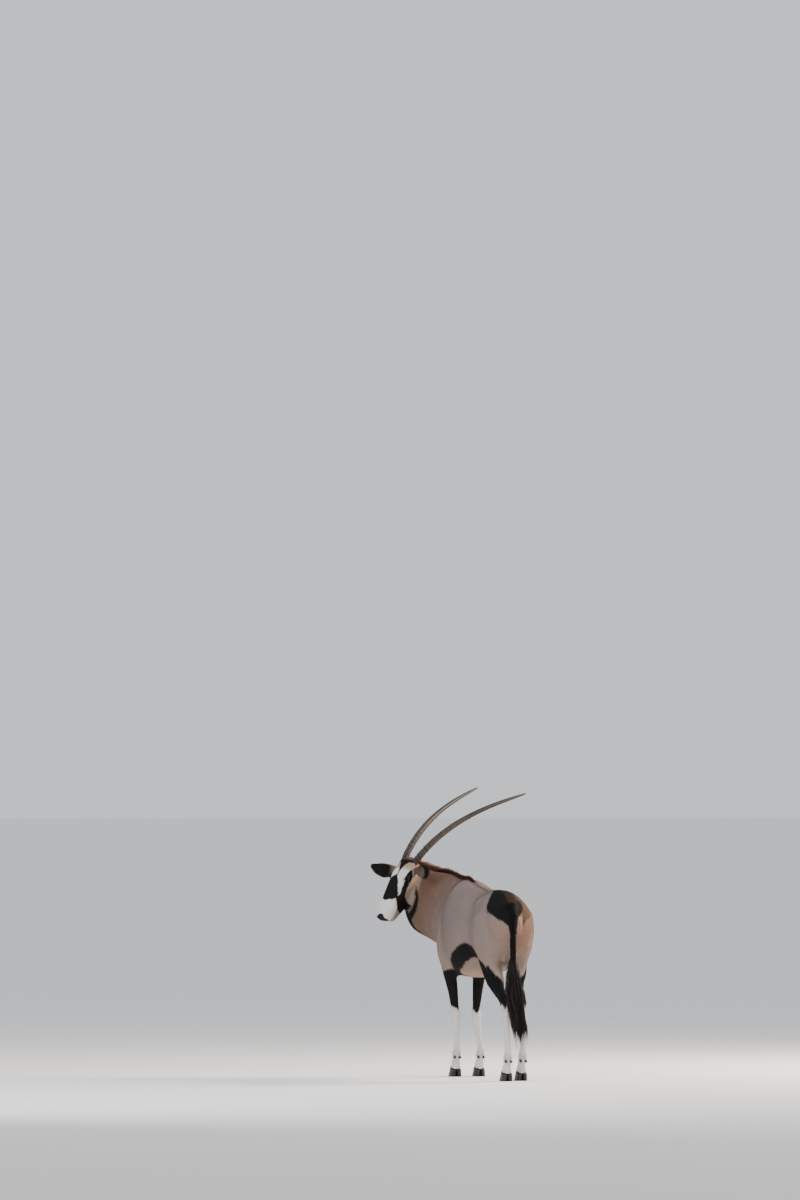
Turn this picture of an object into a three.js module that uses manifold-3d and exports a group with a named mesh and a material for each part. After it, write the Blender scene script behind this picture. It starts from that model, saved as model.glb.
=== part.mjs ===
// Gemsbok (Oryx gazella), adult, life size, standing square with its head turned back over
// its left shoulder. Millimetres, +Z up. The animal faces -Y and its left side is +X.

import * as THREE from 'three';
import { mergeVertices } from 'three/addons/utils/BufferGeometryUtils.js';
import Module from 'manifold-3d';

const wasm = await Module();
wasm.setup();

// Driving dimensions
const withersHeight = 1200;
const rumpHeight = 1143;
const bellyHeight = 597;
const chestFrontY = -618;
const buttockY = 652;
const shoulderY = -345;
const hipY = 340;
const ribHalfWidth = 226;
const shoulderHalfWidth = 182;
const hipHalfWidth = 172;
const hornLength = 972;
const hornBaseRadius = 20;
const hornSpacing = 82;
const earLength = 198;
const eyeRadius = 19.5;
const hoofHeight = 58;
const gap = 0.35;
const maneHeight = 44;
const switchTop = 722;
const switchBottom = 165;

const left = 1;
const right = -1;

const finishes = {
  coat: { color: 0x8a7767, roughness: 0.85, metalness: 0 },
  neckCoat: { color: 0x7d6555, roughness: 0.85, metalness: 0 },
  faceCoat: { color: 0xd8d0c4, roughness: 0.85, metalness: 0 },
  legCoat: { color: 0xcfc6ba, roughness: 0.85, metalness: 0 },
  blackHair: { color: 0x1a1715, roughness: 0.7, metalness: 0 },
  horn: { color: 0x35302b, roughness: 0.5, metalness: 0 },
  hoof: { color: 0x24201d, roughness: 0.45, metalness: 0 },
  eye: { color: 0x120c08, roughness: 0.08, metalness: 0 },
};

const vec = (x, y, z) => new THREE.Vector3(x, y, z);
const mix = THREE.MathUtils.lerp;
const radians = THREE.MathUtils.degToRad;

// Seeded draw between -1 and 1, so that locks vary the same way on each run
function seededDraw(seed) {
  let state = seed;
  return () => {
    state = (state * 1664525 + 1013904223) % 4294967296;
    return (state / 4294967296) * 2 - 1;
  };
}

// A section of a body: centre, direction of its top, reach to each side, to the top and to
// the bottom. Squareness 2 is an oval and more is boxier.
function section(centre, top, side, up, down, square = 2) {
  return { centre: vec(...centre), top: vec(...top), reach: vec(side, up, down), square };
}

// Smooth run through a list of sections
function bodyRun(sections) {
  const centres = new THREE.CatmullRomCurve3(sections.map((s) => s.centre));
  const tops = new THREE.CatmullRomCurve3(sections.map((s) => s.top));
  const reaches = new THREE.CatmullRomCurve3(sections.map((s) => s.reach));
  const last = sections.length - 1;
  return (t) => {
    const ahead = centres.getTangent(t);
    const side = tops.getPoint(t).cross(ahead).normalize();
    const low = Math.min(Math.floor(t * last), last - 1);
    return {
      centre: centres.getPoint(t),
      ahead,
      side,
      top: ahead.clone().cross(side),
      reach: reaches.getPoint(t),
      square: mix(sections[low].square, sections[low + 1].square, t * last - low),
    };
  };
}

function ovalRing(frame, sides, scale, shift, grow) {
  const power = 2 / frame.square;
  const soft = (value) => Math.sign(value) * Math.abs(value) ** power;
  return Array.from({ length: sides }, (_, i) => {
    const angle = (i / sides) * Math.PI * 2;
    const rise = soft(Math.sin(angle));
    const upReach = (rise > 0 ? frame.reach.y : frame.reach.z) + grow;
    return frame.centre.clone()
      .addScaledVector(frame.side, soft(Math.cos(angle)) * (frame.reach.x + grow) * scale)
      .addScaledVector(frame.top, rise * upReach * scale)
      .addScaledVector(frame.ahead, shift);
  });
}

// Closed body through its sections, with domed ends of the given lengths
function loft(sections, { sides = 16, steps = 2, domes = [0, 0], grow = 0 } = {}) {
  const at = bodyRun(sections);
  const count = (sections.length - 1) * steps;
  const domeSteps = 2;
  const rings = [];
  const first = at(0);
  const final = at(1);
  const domeRing = (frame, step, length, sign) => {
    const angle = (step / (domeSteps + 1)) * Math.PI / 2;
    return ovalRing(frame, sides, Math.cos(angle), sign * Math.sin(angle) * (length + grow), grow);
  };
  if (domes[0] > 0) {
    for (let i = domeSteps; i > 0; i -= 1) {
      rings.push(domeRing(first, i, domes[0], -1));
    }
  }
  for (let i = 0; i <= count; i += 1) {
    const flatEnd = (i === 0 && domes[0] === 0) ? -grow : (i === count && domes[1] === 0) ? grow : 0;
    rings.push(ovalRing(at(i / count), sides, 1, flatEnd, grow));
  }
  if (domes[1] > 0) {
    for (let i = 1; i <= domeSteps; i += 1) {
      rings.push(domeRing(final, i, domes[1], 1));
    }
  }
  const startPole = first.centre.clone().addScaledVector(first.ahead, -domes[0] - grow);
  const endPole = final.centre.clone().addScaledVector(final.ahead, domes[1] + grow);
  return solidFromRings(rings, startPole, endPole);
}

function solidFromRings(rings, startPole, endPole) {
  const sides = rings[0].length;
  const points = [...rings.flat(), startPole, endPole];
  const start = points.length - 2;
  const end = points.length - 1;
  const lastRing = (rings.length - 1) * sides;
  const faces = [];
  for (let j = 0; j < sides; j += 1) {
    const next = (j + 1) % sides;
    faces.push(start, next, j, end, lastRing + j, lastRing + next);
    for (let i = 0; i < rings.length - 1; i += 1) {
      const near = i * sides;
      const far = near + sides;
      faces.push(near + j, near + next, far + next, near + j, far + next, far + j);
    }
  }
  return solidFromArrays(points.flatMap((p) => [p.x, p.y, p.z]), faces);
}

function solidFromArrays(positions, faces) {
  return new wasm.Manifold(new wasm.Mesh({
    numProp: 3,
    vertProperties: new Float32Array(positions),
    triVerts: new Uint32Array(faces),
  }));
}

function solidFromGeometry(source) {
  const bare = source.clone();
  bare.deleteAttribute('normal');
  bare.deleteAttribute('uv');
  const merged = mergeVertices(bare, 1e-3);
  return solidFromArrays(merged.attributes.position.array, merged.index.array);
}

function ellipsoid(centre, radii, turn = [0, 0, 0], detail = [16, 10]) {
  const shape = new THREE.SphereGeometry(1, ...detail);
  shape.scale(...radii);
  shape.rotateX(Math.PI / 2);
  const place = new THREE.Matrix4().makeRotationFromEuler(new THREE.Euler(...turn.map(radians)));
  place.setPosition(...centre);
  return solidFromGeometry(shape.applyMatrix4(place));
}

const placed = (solid, matrix) => solid.transform(matrix.elements);
const join = (solids) => solids.reduce((whole, next) => whole.add(next));
const cut = (solid, cutters) => cutters.reduce((rest, next) => rest.subtract(next), solid);

function largestBody(solid) {
  return solid.decompose().reduce((best, next) => (next.volume() > best.volume() ? next : best));
}

function geometryFrom(solid) {
  const mesh = largestBody(solid).getMesh();
  const geometry = new THREE.BufferGeometry();
  geometry.setAttribute('position', new THREE.Float32BufferAttribute(mesh.vertProperties, 3));
  geometry.setIndex(Array.from(mesh.triVerts));
  geometry.computeVertexNormals();
  return geometry;
}

const gemsbok = new THREE.Group();

function addNode(name, solid, finish, parent = gemsbok) {
  const node = new THREE.Mesh(geometryFrom(solid), new THREE.MeshStandardMaterial(finishes[finish]));
  node.name = name;
  parent.add(node);
  return node;
}

// Flat tapered lock of hair along a list of points, with its flat side turned to facing[i]
function lock(path, facing, width, thickness) {
  const last = path.length - 1;
  const sections = path.map((point, i) => {
    const taper = mix(1, 0.14, (i / last) ** 2);
    const half = thickness / 2 * taper;
    return section(point.toArray(), facing[i].toArray(), width / 2 * taper, half, half);
  });
  return loft(sections, { sides: 5, steps: 1 });
}

// Trunk, from the buttocks to the front of the chest
function trunkSection(y, topZ, bottomZ, halfWidth, widestZ, square = 2.15) {
  return section([0, y, widestZ], [0, 0, 1], halfWidth, topZ - widestZ, widestZ - bottomZ, square);
}

function trunk() {
  return loft([
    trunkSection(buttockY - 22, 1004, 850, 88, 930),
    trunkSection(buttockY - 60, 1070, 790, 132, 925, 2),
    trunkSection(buttockY - 130, rumpHeight - 34, 730, 160, 915, 1.85),
    trunkSection(hipY + 90, rumpHeight - 6, 700, hipHalfWidth, 915, 1.8),
    trunkSection(hipY - 20, rumpHeight, 676, hipHalfWidth + 6, 915, 1.8),
    trunkSection(190, rumpHeight - 4, 650, 188, 905, 1.9),
    trunkSection(60, rumpHeight + 4, 612, ribHalfWidth - 10, 870, 2.05),
    trunkSection(-80, rumpHeight + 14, bellyHeight, ribHalfWidth, 850),
    trunkSection(-210, rumpHeight + 40, bellyHeight, ribHalfWidth - 16, 835),
    trunkSection(shoulderY, withersHeight + 4, bellyHeight + 6, shoulderHalfWidth + 4, 830, 2.25),
    trunkSection(shoulderY - 105, withersHeight - 16, 632, shoulderHalfWidth - 12, 840, 2.25),
    trunkSection(chestFrontY + 70, 1120, 690, 140, 865),
    trunkSection(chestFrontY + 24, 1020, 750, 88, 880),
  ], { sides: 22, steps: 2, domes: [22, 24] });
}

// Forelimb from the shoulder blade to the coronet. knee and foot give the X of each joint.
function forelimbSections(side, { elbowX, kneeX, footX, footY }) {
  const forward = [0, -1, 0];
  const midX = mix(elbowX, kneeX, 0.5);
  return [
    section([side * 112, -345, 1000], forward, 52, 60, 70),
    section([side * 122, -385, 880], forward, 64, 96, 100),
    section([side * 121, -388, 780], forward, 62, 92, 98),
    section([mix(side * 120, elbowX, 0.5), -375, 700], forward, 52, 70, 86),
    section([elbowX, -388, 615], forward, 43, 52, 56),
    section([midX, -402, 510], forward, 35, 38, 42),
    section([mix(midX, kneeX, 0.75), -416, 412], forward, 29, 29, 32),
    section([kneeX, footY + 6, 362], forward, 31, 32, 30, 2.3),
    section([mix(kneeX, footX, 0.2), footY + 8, 312], forward, 25, 23, 26),
    section([mix(kneeX, footX, 0.6), footY + 10, 235], forward, 19, 17, 22),
    section([footX, footY + 6, 172], forward, 21, 19, 24),
    section([footX, footY, 142], forward, 27, 25, 29),
    section([footX, footY - 16, 98], forward, 25, 23, 24),
    section([footX, footY - 30, 58], forward, 33, 33, 35),
    section([footX, footY - 36, 26], forward, 33, 34, 34),
  ];
}

// Hind limb from the hip to the coronet
function hindlimbSections(side, { hockX, footX, footY }) {
  const forward = [0, -1, 0];
  return [
    section([side * 96, 385, 985], forward, 84, 120, 150),
    section([side * 104, 400, 880], forward, 76, 140, 180),
    section([side * 98, 402, 780], forward, 64, 142, 160),
    section([side * 90, 396, 692], forward, 49, 122, 128),
    section([side * 80, 440, 612], forward, 41, 92, 98),
    section([mix(side * 80, hockX, 0.45), footY - 92, 545], forward, 34, 62, 72),
    section([mix(side * 80, hockX, 0.85), footY - 10, 488], forward, 28, 42, 62, 2.3),
    section([hockX, footY + 10, 446], forward, 28, 38, 44, 2.5),
    section([mix(hockX, footX, 0.25), footY + 10, 396], forward, 25, 28, 31, 2.5),
    section([mix(hockX, footX, 0.6), footY + 4, 290], forward, 22, 22, 25, 2.4),
    section([footX, footY - 8, 190], forward, 22, 21, 26, 2.3),
    section([footX, footY - 14, 150], forward, 27, 26, 29),
    section([footX, footY - 32, 102], forward, 25, 24, 24),
    section([footX, footY - 46, 58], forward, 33, 33, 35),
    section([footX, footY - 52, 26], forward, 33, 34, 34),
  ];
}

const kneeCut = 395;
const hockCut = 480;

const limbs = [
  {
    name: 'foreleg_left',
    sections: forelimbSections(left, { elbowX: 108, kneeX: 64, footX: 56, footY: -428 }),
    jointHeight: kneeCut,
  },
  {
    name: 'foreleg_right',
    sections: forelimbSections(right, { elbowX: -72, kneeX: -62, footX: -92, footY: -424 }),
    jointHeight: kneeCut,
  },
  {
    name: 'hindleg_left',
    sections: hindlimbSections(left, { hockX: 50, footX: 26, footY: 596 }),
    jointHeight: hockCut,
  },
  {
    name: 'hindleg_right',
    sections: hindlimbSections(right, { hockX: -74, footX: -86, footY: 524 }),
    jointHeight: hockCut,
  },
];

// Neck, from inside the chest up and round to the back of the head
const neckSections = [
  section([0, -330, 930], [0, -0.2, 0.98], 140, 245, 240),
  section([6, -480, 962], [0, -0.33, 0.94], 142, 248, 232),
  section([44, -606, 1005], [-0.14, -0.4, 0.9], 128, 240, 214),
  section([120, -712, 1058], [-0.52, 0.12, 0.84], 108, 206, 204),
  section([196, -780, 1130], [-0.72, 0.1, 0.68], 84, 166, 146),
  section([234, -790, 1198], [-0.84, 0.05, 0.5], 70, 132, 118),
  section([262, -776, 1252], [-0.84, -0.12, 0.5], 50, 78, 70),
];

// Mane: stiff locks in two staggered rows, upright on the crest and lower towards the withers
function mane() {
  const at = bodyRun(neckSections);
  const draw = seededDraw(11);
  const count = 24;
  const steps = 4;
  const rootDepth = 16;
  return Array.from({ length: count }, (_, i) => {
    const along = (i + 0.5) / count;
    const frame = at(mix(0.985, 0.28, along));
    const height = maneHeight * (mix(0.9, 0.2, along) + 0.1 * draw());
    const sway = (i % 2 ? 0.2 : -0.2) + 0.08 * draw();
    const lean = 12 + 6 * draw();
    const path = Array.from({ length: steps }, (unused, k) => {
      const t = k / (steps - 1);
      const lift = mix(frame.reach.y - rootDepth, frame.reach.y + height, t);
      return frame.centre.clone()
        .addScaledVector(frame.top, lift)
        .addScaledVector(frame.side, sway * height * mix(0.3, 1, t))
        .addScaledVector(frame.ahead, -lean * t * t);
    });
    return lock(path, path.map(() => frame.side), 50, 13);
  });
}

// Head, in its own frame: nose towards -Y, left +X, forehead +Z, origin between the horns
const headPlace = vec(305, -715, 1297);
const headNod = 55.4;
const headRoll = 9.5;
const headTurn = 116.6;
const headGroup = new THREE.Group();
headGroup.position.copy(headPlace);
headGroup.rotation.set(radians(headNod), radians(headRoll), radians(headTurn), 'ZXY');
headGroup.updateMatrix();
const headMatrix = headGroup.matrix.clone();
gemsbok.add(headGroup);

function headSection(along, topZ, bottomZ, halfWidth, widestZ, square = 2.2) {
  return section([0, -along, widestZ], [0, 0, 1], halfWidth, topZ - widestZ, widestZ - bottomZ, square);
}

const faceSections = [
  headSection(-44, -22, -118, 44, -68),
  headSection(-18, -4, -136, 57, -64),
  headSection(12, 3, -146, 64, -58),
  headSection(52, 6, -148, 73, -50),
  headSection(92, 5, -142, 76, -44),
  headSection(138, 6, -130, 67, -42, 2.3),
  headSection(188, 6, -118, 58, -44, 2.4),
  headSection(238, 3, -108, 52, -46, 2.5),
  headSection(272, 0, -104, 52, -50, 2.5),
  headSection(302, -6, -104, 60, -54, 2.4),
  headSection(336, -14, -104, 62, -58, 2.5),
  headSection(364, -28, -100, 52, -62, 2.5),
];

const jawSections = [
  headSection(10, -96, -200, 55, -146, 2.3),
  headSection(56, -96, -212, 58, -150, 2.3),
  headSection(112, -90, -209, 51, -144),
  headSection(172, -80, -194, 44, -132),
  headSection(232, -72, -178, 42, -124),
  headSection(290, -66, -158, 41, -116),
  headSection(338, -66, -139, 43, -106),
];

function headCore(grow) {
  return loft(faceSections, { sides: 18, steps: 2, domes: [18, 14], grow })
    .add(loft(jawSections, { sides: 14, steps: 1, domes: [14, 12], grow }));
}

const eyePlace = (side) => [side * 59, -90, -35];

function ball(grow) {
  return ellipsoid([0, 0, 0], [1, 1, 1].map(() => eyeRadius + grow), [0, 0, 0], [12, 8]);
}

// Horns: long, slender, almost straight, bending gently back and out, ridged on the lower half
function hornPath(side) {
  const points = [vec(side * hornSpacing / 2, 10, -40)];
  const count = 24;
  const stepLength = hornLength / count;
  for (let i = 0; i < count; i += 1) {
    const t = (i + 0.5) / count;
    const lean = radians(mix(2.7, 40.6, t) + 37.8 * t * (1 - t));
    const splay = radians(mix(9.2, 8.5, t));
    points.push(points[i].clone().add(vec(
      side * Math.sin(splay),
      Math.cos(lean) * Math.cos(splay),
      -Math.sin(lean) * Math.cos(splay),
    ).multiplyScalar(stepLength)));
  }
  return new THREE.CatmullRomCurve3(points);
}

function hornRadius(t) {
  return (hornBaseRadius - 2) * (1 - t) ** 0.42 + 2;
}

function horn(side, grow = 0) {
  const curve = hornPath(side);
  const ridgeCount = 17;
  const ridgesFrom = 0.04;
  const ridgedShare = 0.5;
  const pitch = (ridgedShare - ridgesFrom) / ridgeCount;
  const places = [0];
  for (let i = 0; i < ridgeCount; i += 1) {
    const from = ridgesFrom + i * pitch;
    places.push(from, from + pitch * 0.45);
  }
  const smooth = 8;
  for (let i = 0; i <= smooth; i += 1) {
    places.push(mix(ridgedShare, 0.985, i / smooth));
  }
  const sections = places.map((t, i) => {
    const ridged = i > 0 && i <= ridgeCount * 2;
    const swell = ridged && i % 2 === 0 ? 1.9 * (1 - t) : 0;
    const radius = hornRadius(t) + swell;
    const centre = curve.getPoint(t);
    return section(centre.toArray(), [0, 0.4, 1], radius, radius, radius);
  });
  return loft(sections, { sides: 8, steps: 1, domes: [0, 10], grow });
}

// Ear: a tapering leaf, hollowed to a cup that opens forward. It is built along +Z.
const earShape = [
  { along: -14, bow: 0, side: 16, back: 14, front: 14 },
  { along: 16, bow: 4, side: 23, back: 19, front: 15 },
  { along: 54, bow: 12, side: 38, back: 25, front: 12 },
  { along: 104, bow: 18, side: 47, back: 23, front: 8 },
  { along: 144, bow: 13, side: 37, back: 15, front: 5 },
  { along: 171, bow: 2, side: 18, back: 7, front: 3 },
];
const earShapeLength = 188;
const earWall = 3.6;

// The ears are held out to the sides, the left one a little further up
const earPoses = {
  [left]: { base: [60, -12, -68], axis: [0.875, -0.12, 0.46], facing: [-0.561, -0.65, 0.515] },
  [right]: { base: [-62, -20, -80], axis: [-0.93, -0.19, 0.4], facing: [0.52, -0.62, 0.58] },
};

function earMatrix(side) {
  const axis = vec(...earPoses[side].axis).normalize();
  const facing = vec(...earPoses[side].facing);
  const back = facing.clone().negate().addScaledVector(axis, facing.dot(axis)).normalize();
  const across = back.clone().cross(axis);
  return new THREE.Matrix4().makeBasis(across, back, axis).setPosition(...earPoses[side].base);
}

function earOuter(side, grow) {
  const stretch = earLength / earShapeLength;
  return loft(earShape.map((s) => (
    section([side * s.bow, 0, s.along * stretch], [0, 1, 0], s.side, s.back, s.front)
  )), { sides: 14, steps: 1, domes: [0, 16], grow });
}

function ear(side) {
  const stretch = earLength / earShapeLength;
  const hollow = loft(earShape.slice(1).map((s, i) => (
    section([side * s.bow, 0, (s.along + 10 * (i === 0)) * stretch], [0, 1, 0],
      s.side - earWall, s.back - earWall, 40)
  )), { sides: 12, steps: 1, domes: [6, 8] });
  return earOuter(side, 0).subtract(hollow);
}

// Head with sockets, lids, mouth line and nostrils
function head() {
  let solid = headCore(0);
  for (const side of [left, right]) {
    const [x, y, z] = eyePlace(side);
    const lidShell = ball(4).translate(x, y, z);
    const slit = ellipsoid([x + side * 20, y, z - 1], [20, 17.5, 10], [14, 0, 0], [12, 6]);
    const hornCollar = ellipsoid([side * hornSpacing / 2, 8, -38], [24, 30, 30], [0, 0, 0], [10, 6]);
    const nostril = ellipsoid([side * 20, -360, -48], [7, 15, 5.5], [-38, 0, side * 24], [10, 6]);
    solid = cut(join([solid, lidShell, hornCollar]), [ball(gap).translate(x, y, z), slit, nostril, horn(side, gap),
      placed(earOuter(side, gap), earMatrix(side))]);
  }
  return solid.subtract(mouthLine());
}

// Thin groove between the lips, shallower than the lips are thick
function mouthLine() {
  const sections = [
    section([0, -264, -94], [0, 0, 1], 66, 0.4, 0.4),
    section([0, -294, -90], [0, 0, 1], 66, 1.2, 1.2),
    section([0, -334, -89], [0, 0, 1], 66, 1.6, 1.6),
    section([0, -388, -90], [0, 0, 1], 66, 1.8, 1.8),
  ];
  const core = loft(faceSections.slice(5), { sides: 16, steps: 2, domes: [0, 6], grow: -9 });
  return loft(sections, { sides: 8, steps: 1 }).subtract(core);
}

// Hoof: two pointed cleaves on a flat sole, cut off along the sloping coronet
function cleave(side) {
  const sections = [-0.4, 0.3, 1].map((t) => {
    const z = t * (hoofHeight + 14);
    return section([side * mix(19, 15.5, t), mix(0, 19, t), z], [0, -1, 0],
      mix(17, 13.5, t), mix(55, 36, t), mix(38, 30, t), 2.2);
  });
  return loft(sections, { sides: 12, steps: 1 }).trimByPlane([0, 0, 1], 0);
}

const coronetNormal = [0, 0.34, 0.94];
const coronetLift = 50;

function coronetOffset(foot) {
  return foot.y * coronetNormal[1] + coronetLift;
}

function dewclawMatrix(foot, side) {
  return new THREE.Matrix4().makeRotationFromEuler(new THREE.Euler(radians(-28), radians(side * 12), 0))
    .setPosition(foot.x + side * 17, foot.y + 52, 118);
}

function dewclaw(grow) {
  return ellipsoid([0, 0, 0], [11, 11, 20].map((r) => r + grow), [0, 0, 0], [8, 5]);
}

// Tail: dock hanging from the rump, and the long black switch
const tailSections = [
  section([4, 552, 1050], [0, 0.3, 1], 28, 22, 26),
  section([8, 606, 1044], [0, 0.7, 0.7], 27, 22, 24),
  section([13, 648, 1004], [0, 1, 0.2], 24, 19, 20),
  section([19, 672, 930], [0, 1, 0], 21, 17, 18),
  section([23, 682, 820], [0, 1, 0], 19, 16, 16),
  section([26, 688, 700], [0, 1, 0], 17, 15, 15),
];

// Outline of the switch, which its outer locks reach
const switchSections = [
  section([26, 688, switchTop + 20], [0, 1, 0], 20, 17, 17),
  section([26, 690, 640], [0, 1, 0], 46, 30, 30),
  section([14, 692, 520], [0, 1, 0], 58, 36, 36),
  section([-12, 690, 400], [0, 1, 0], 48, 30, 30),
  section([-28, 688, 290], [0, 1, 0], 42, 25, 25),
  section([-32, 686, switchBottom], [0, 1, 0], 26, 15, 15),
];

// Core half as wide as the switch, ending well above the tips of its locks
function switchCore() {
  const at = bodyRun(switchSections);
  const rings = 6;
  return loft(Array.from({ length: rings }, (_, i) => {
    const frame = at(i / (rings - 1) * 0.72);
    const share = i === 0 ? 1 : mix(0.5, 0.2, i / (rings - 1));
    return section(frame.centre.toArray(), frame.top.toArray(), frame.reach.x * share,
      frame.reach.y * share, frame.reach.z * share);
  }), { sides: 8, steps: 1 });
}

function tailSwitch() {
  const at = bodyRun(switchSections);
  const draw = seededDraw(29);
  const rows = 4;
  const perRow = 4;
  const steps = 4;
  const locks = Array.from({ length: rows * perRow }, (_, i) => {
    const row = Math.floor(i / perRow);
    const rootAt = mix(0.02, 0.6, row / (rows - 1));
    const tipAt = Math.min(rootAt + 0.42 + 0.05 * draw(), 1);
    const angle = ((i % perRow) + (row % 2) / 2 + 0.12 * draw()) / perRow * Math.PI * 2;
    const path = [];
    const facing = [];
    for (let k = 0; k < steps; k += 1) {
      const t = k / (steps - 1);
      const frame = at(mix(rootAt, tipAt, t));
      const spread = mix(0.2, 0.86, Math.sin(Math.min(t * 1.25, 1) * Math.PI / 2));
      const aside = frame.side.clone().multiplyScalar(Math.cos(angle) * frame.reach.x);
      const outward = aside.addScaledVector(frame.top, Math.sin(angle) * frame.reach.y);
      path.push(frame.centre.clone().addScaledVector(outward, spread));
      facing.push(outward.normalize());
    }
    return lock(path, facing, 50, 15);
  });
  return join([switchCore(), ...locks]);
}

// Assembly
const limbOptions = { sides: 12, steps: 1, domes: [20, 0] };
const tailOptions = { sides: 12, steps: 2 };
const neckOptions = { sides: 22, steps: 2, domes: [0, 26] };
const sockets = limbs.map((limb) => loft(limb.sections, { ...limbOptions, grow: gap }));
const headSockets = [
  placed(headCore(gap), headMatrix),
  ...[left, right].map((side) => placed(placed(earOuter(side, gap), earMatrix(side)), headMatrix)),
];

// Slanted cut in front of the shoulders, which parts the neck from the torso
const shoulderCut = vec(0.06, -0.76, 0.65).normalize();
const shoulderOffset = shoulderCut.dot(vec(0, -470, 1040));
const trunkAndNeck = trunk().add(loft(neckSections, neckOptions));
const maned = join([trunkAndNeck, ...mane()]);
const neck = maned.trimByPlane(shoulderCut.toArray(), shoulderOffset + gap / 2);
const torso = trunkAndNeck
  .trimByPlane(shoulderCut.clone().negate().toArray(), -shoulderOffset + gap / 2);

addNode('neck', cut(neck, [...headSockets, ...sockets]), 'neckCoat');
addNode('torso', cut(torso, [...sockets, loft(tailSections, { ...tailOptions, grow: gap })]), 'coat');
addNode('tail', loft(tailSections, tailOptions).trimByPlane([0, 0, 1], switchTop + gap / 2), 'blackHair');
addNode('tail_switch', tailSwitch().trimByPlane([0, 0, -1], -switchTop + gap / 2), 'blackHair');

addNode('head', head(), 'faceCoat', headGroup);
for (const [sideName, side] of [['left', left], ['right', right]]) {
  addNode(`horn_${sideName}`, horn(side), 'horn', headGroup);
  const eyeNode = addNode(`eye_${sideName}`, ball(0), 'eye', headGroup);
  eyeNode.position.set(...eyePlace(side));
  const earNode = addNode(`ear_${sideName}`, ear(side), 'faceCoat', headGroup);
  earNode.applyMatrix4(earMatrix(side));
}

// Each limb is parted at its knee or hock and stands on two cleaves, with two dewclaws behind
for (const { name, sections, jointHeight } of limbs) {
  const foot = sections[sections.length - 1].centre;
  const limb = loft(sections, limbOptions).trimByPlane(coronetNormal, coronetOffset(foot) + gap);
  const claws = [left, right].map((side) => placed(dewclaw(gap), dewclawMatrix(foot, side)));
  const lower = cut(limb.trimByPlane([0, 0, -1], -jointHeight + gap / 2), claws);
  addNode(`${name}_upper`, limb.trimByPlane([0, 0, 1], jointHeight + gap / 2), 'coat');
  addNode(`${name}_lower`, lower, 'legCoat');
  const footGroup = new THREE.Group();
  footGroup.position.set(foot.x, foot.y, 0);
  gemsbok.add(footGroup);
  for (const [sideName, side] of [['left', left], ['right', right]]) {
    const hoof = cleave(side).trimByPlane(coronetNormal.map((c) => -c), -coronetLift);
    addNode(`${name}_hoof_${sideName}`, hoof, 'hoof', footGroup);
    const clawNode = addNode(`${name}_dewclaw_${sideName}`, dewclaw(0), 'hoof');
    clawNode.applyMatrix4(dewclawMatrix(foot, side));
  }
}

// Origin at the middle of the box that the animal fills, on the ground
gemsbok.updateMatrixWorld(true);
const box = new THREE.Box3().setFromObject(gemsbok, true);
const middle = box.getCenter(vec(0, 0, 0));
gemsbok.position.set(-middle.x, -middle.y, -box.min.z);
gemsbok.updateMatrixWorld(true);

export default gemsbok;
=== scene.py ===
import math

import bmesh
import bpy
import numpy as np
from mathutils import Matrix, Vector
from mathutils.bvhtree import BVHTree


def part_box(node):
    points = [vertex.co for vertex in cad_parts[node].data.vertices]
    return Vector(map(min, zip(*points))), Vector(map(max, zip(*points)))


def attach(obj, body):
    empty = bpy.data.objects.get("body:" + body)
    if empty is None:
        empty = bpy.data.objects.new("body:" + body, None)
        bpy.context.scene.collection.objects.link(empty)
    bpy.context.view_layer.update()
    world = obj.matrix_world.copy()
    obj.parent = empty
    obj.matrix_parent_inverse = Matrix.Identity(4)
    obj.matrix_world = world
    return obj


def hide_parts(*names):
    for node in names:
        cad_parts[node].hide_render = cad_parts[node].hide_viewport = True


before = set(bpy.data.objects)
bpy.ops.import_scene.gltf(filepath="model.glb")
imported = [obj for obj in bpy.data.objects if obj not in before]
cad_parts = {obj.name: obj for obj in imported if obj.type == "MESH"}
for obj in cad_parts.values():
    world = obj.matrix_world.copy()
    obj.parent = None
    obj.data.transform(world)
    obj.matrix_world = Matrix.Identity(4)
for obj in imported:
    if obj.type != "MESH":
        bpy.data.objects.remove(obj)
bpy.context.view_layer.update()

# Gemsbok, standing with its head turned back over its left shoulder.
# Lengths are in metres. Body places count from the ground below the withers,
# head places run (aside, along the face towards the nose, up from the brow).

pose = {
    "headPlace": (0.305, -0.715, 1.297),
    "headNod": 55.4,
    "headRoll": 9.5,
    "headTurn": 116.6,
    "eyePlace": (0.059, 0.090, -0.035),
    "eyeRadius": 0.0195,
}

sideNames = {1: "left", -1: "right"}


def unit(vectors):
    vectors = np.asarray(vectors, float)
    return vectors / np.maximum(np.linalg.norm(vectors, axis=-1, keepdims=True), 1e-12)


def smooth(low, high, value):
    t = np.clip((value - low) / (high - low), 0, 1)
    return t * t * (3 - 2 * t)


def mix(a, b, t):
    return a + (b - a) * t


headTurn = (Matrix.Rotation(math.radians(pose["headTurn"]), 3, "Z")
            @ Matrix.Rotation(math.radians(pose["headNod"]), 3, "X")
            @ Matrix.Rotation(math.radians(pose["headRoll"]), 3, "Y"))
headAxes = np.array(headTurn)
headAxes[:, 1] *= -1
eyeMiddle = np.mean([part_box("eye_" + name) for name in sideNames.values()], axis=(0, 1))
headOrigin = eyeMiddle - headAxes @ np.array((0, pose["eyePlace"][1], pose["eyePlace"][2]))
bodyOrigin = headOrigin - np.array(pose["headPlace"])
bodyOrigin[2] = 0
print("body origin", bodyOrigin)


def onBody(places):  # body places to the frame
    return np.asarray(places, float) + bodyOrigin


def onHead(places):  # head places to the frame
    return np.asarray(places, float) @ headAxes.T + headOrigin


def bodyPlace(points):
    return points - bodyOrigin


def headPlace(points):
    return (points - headOrigin) @ headAxes


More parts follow.
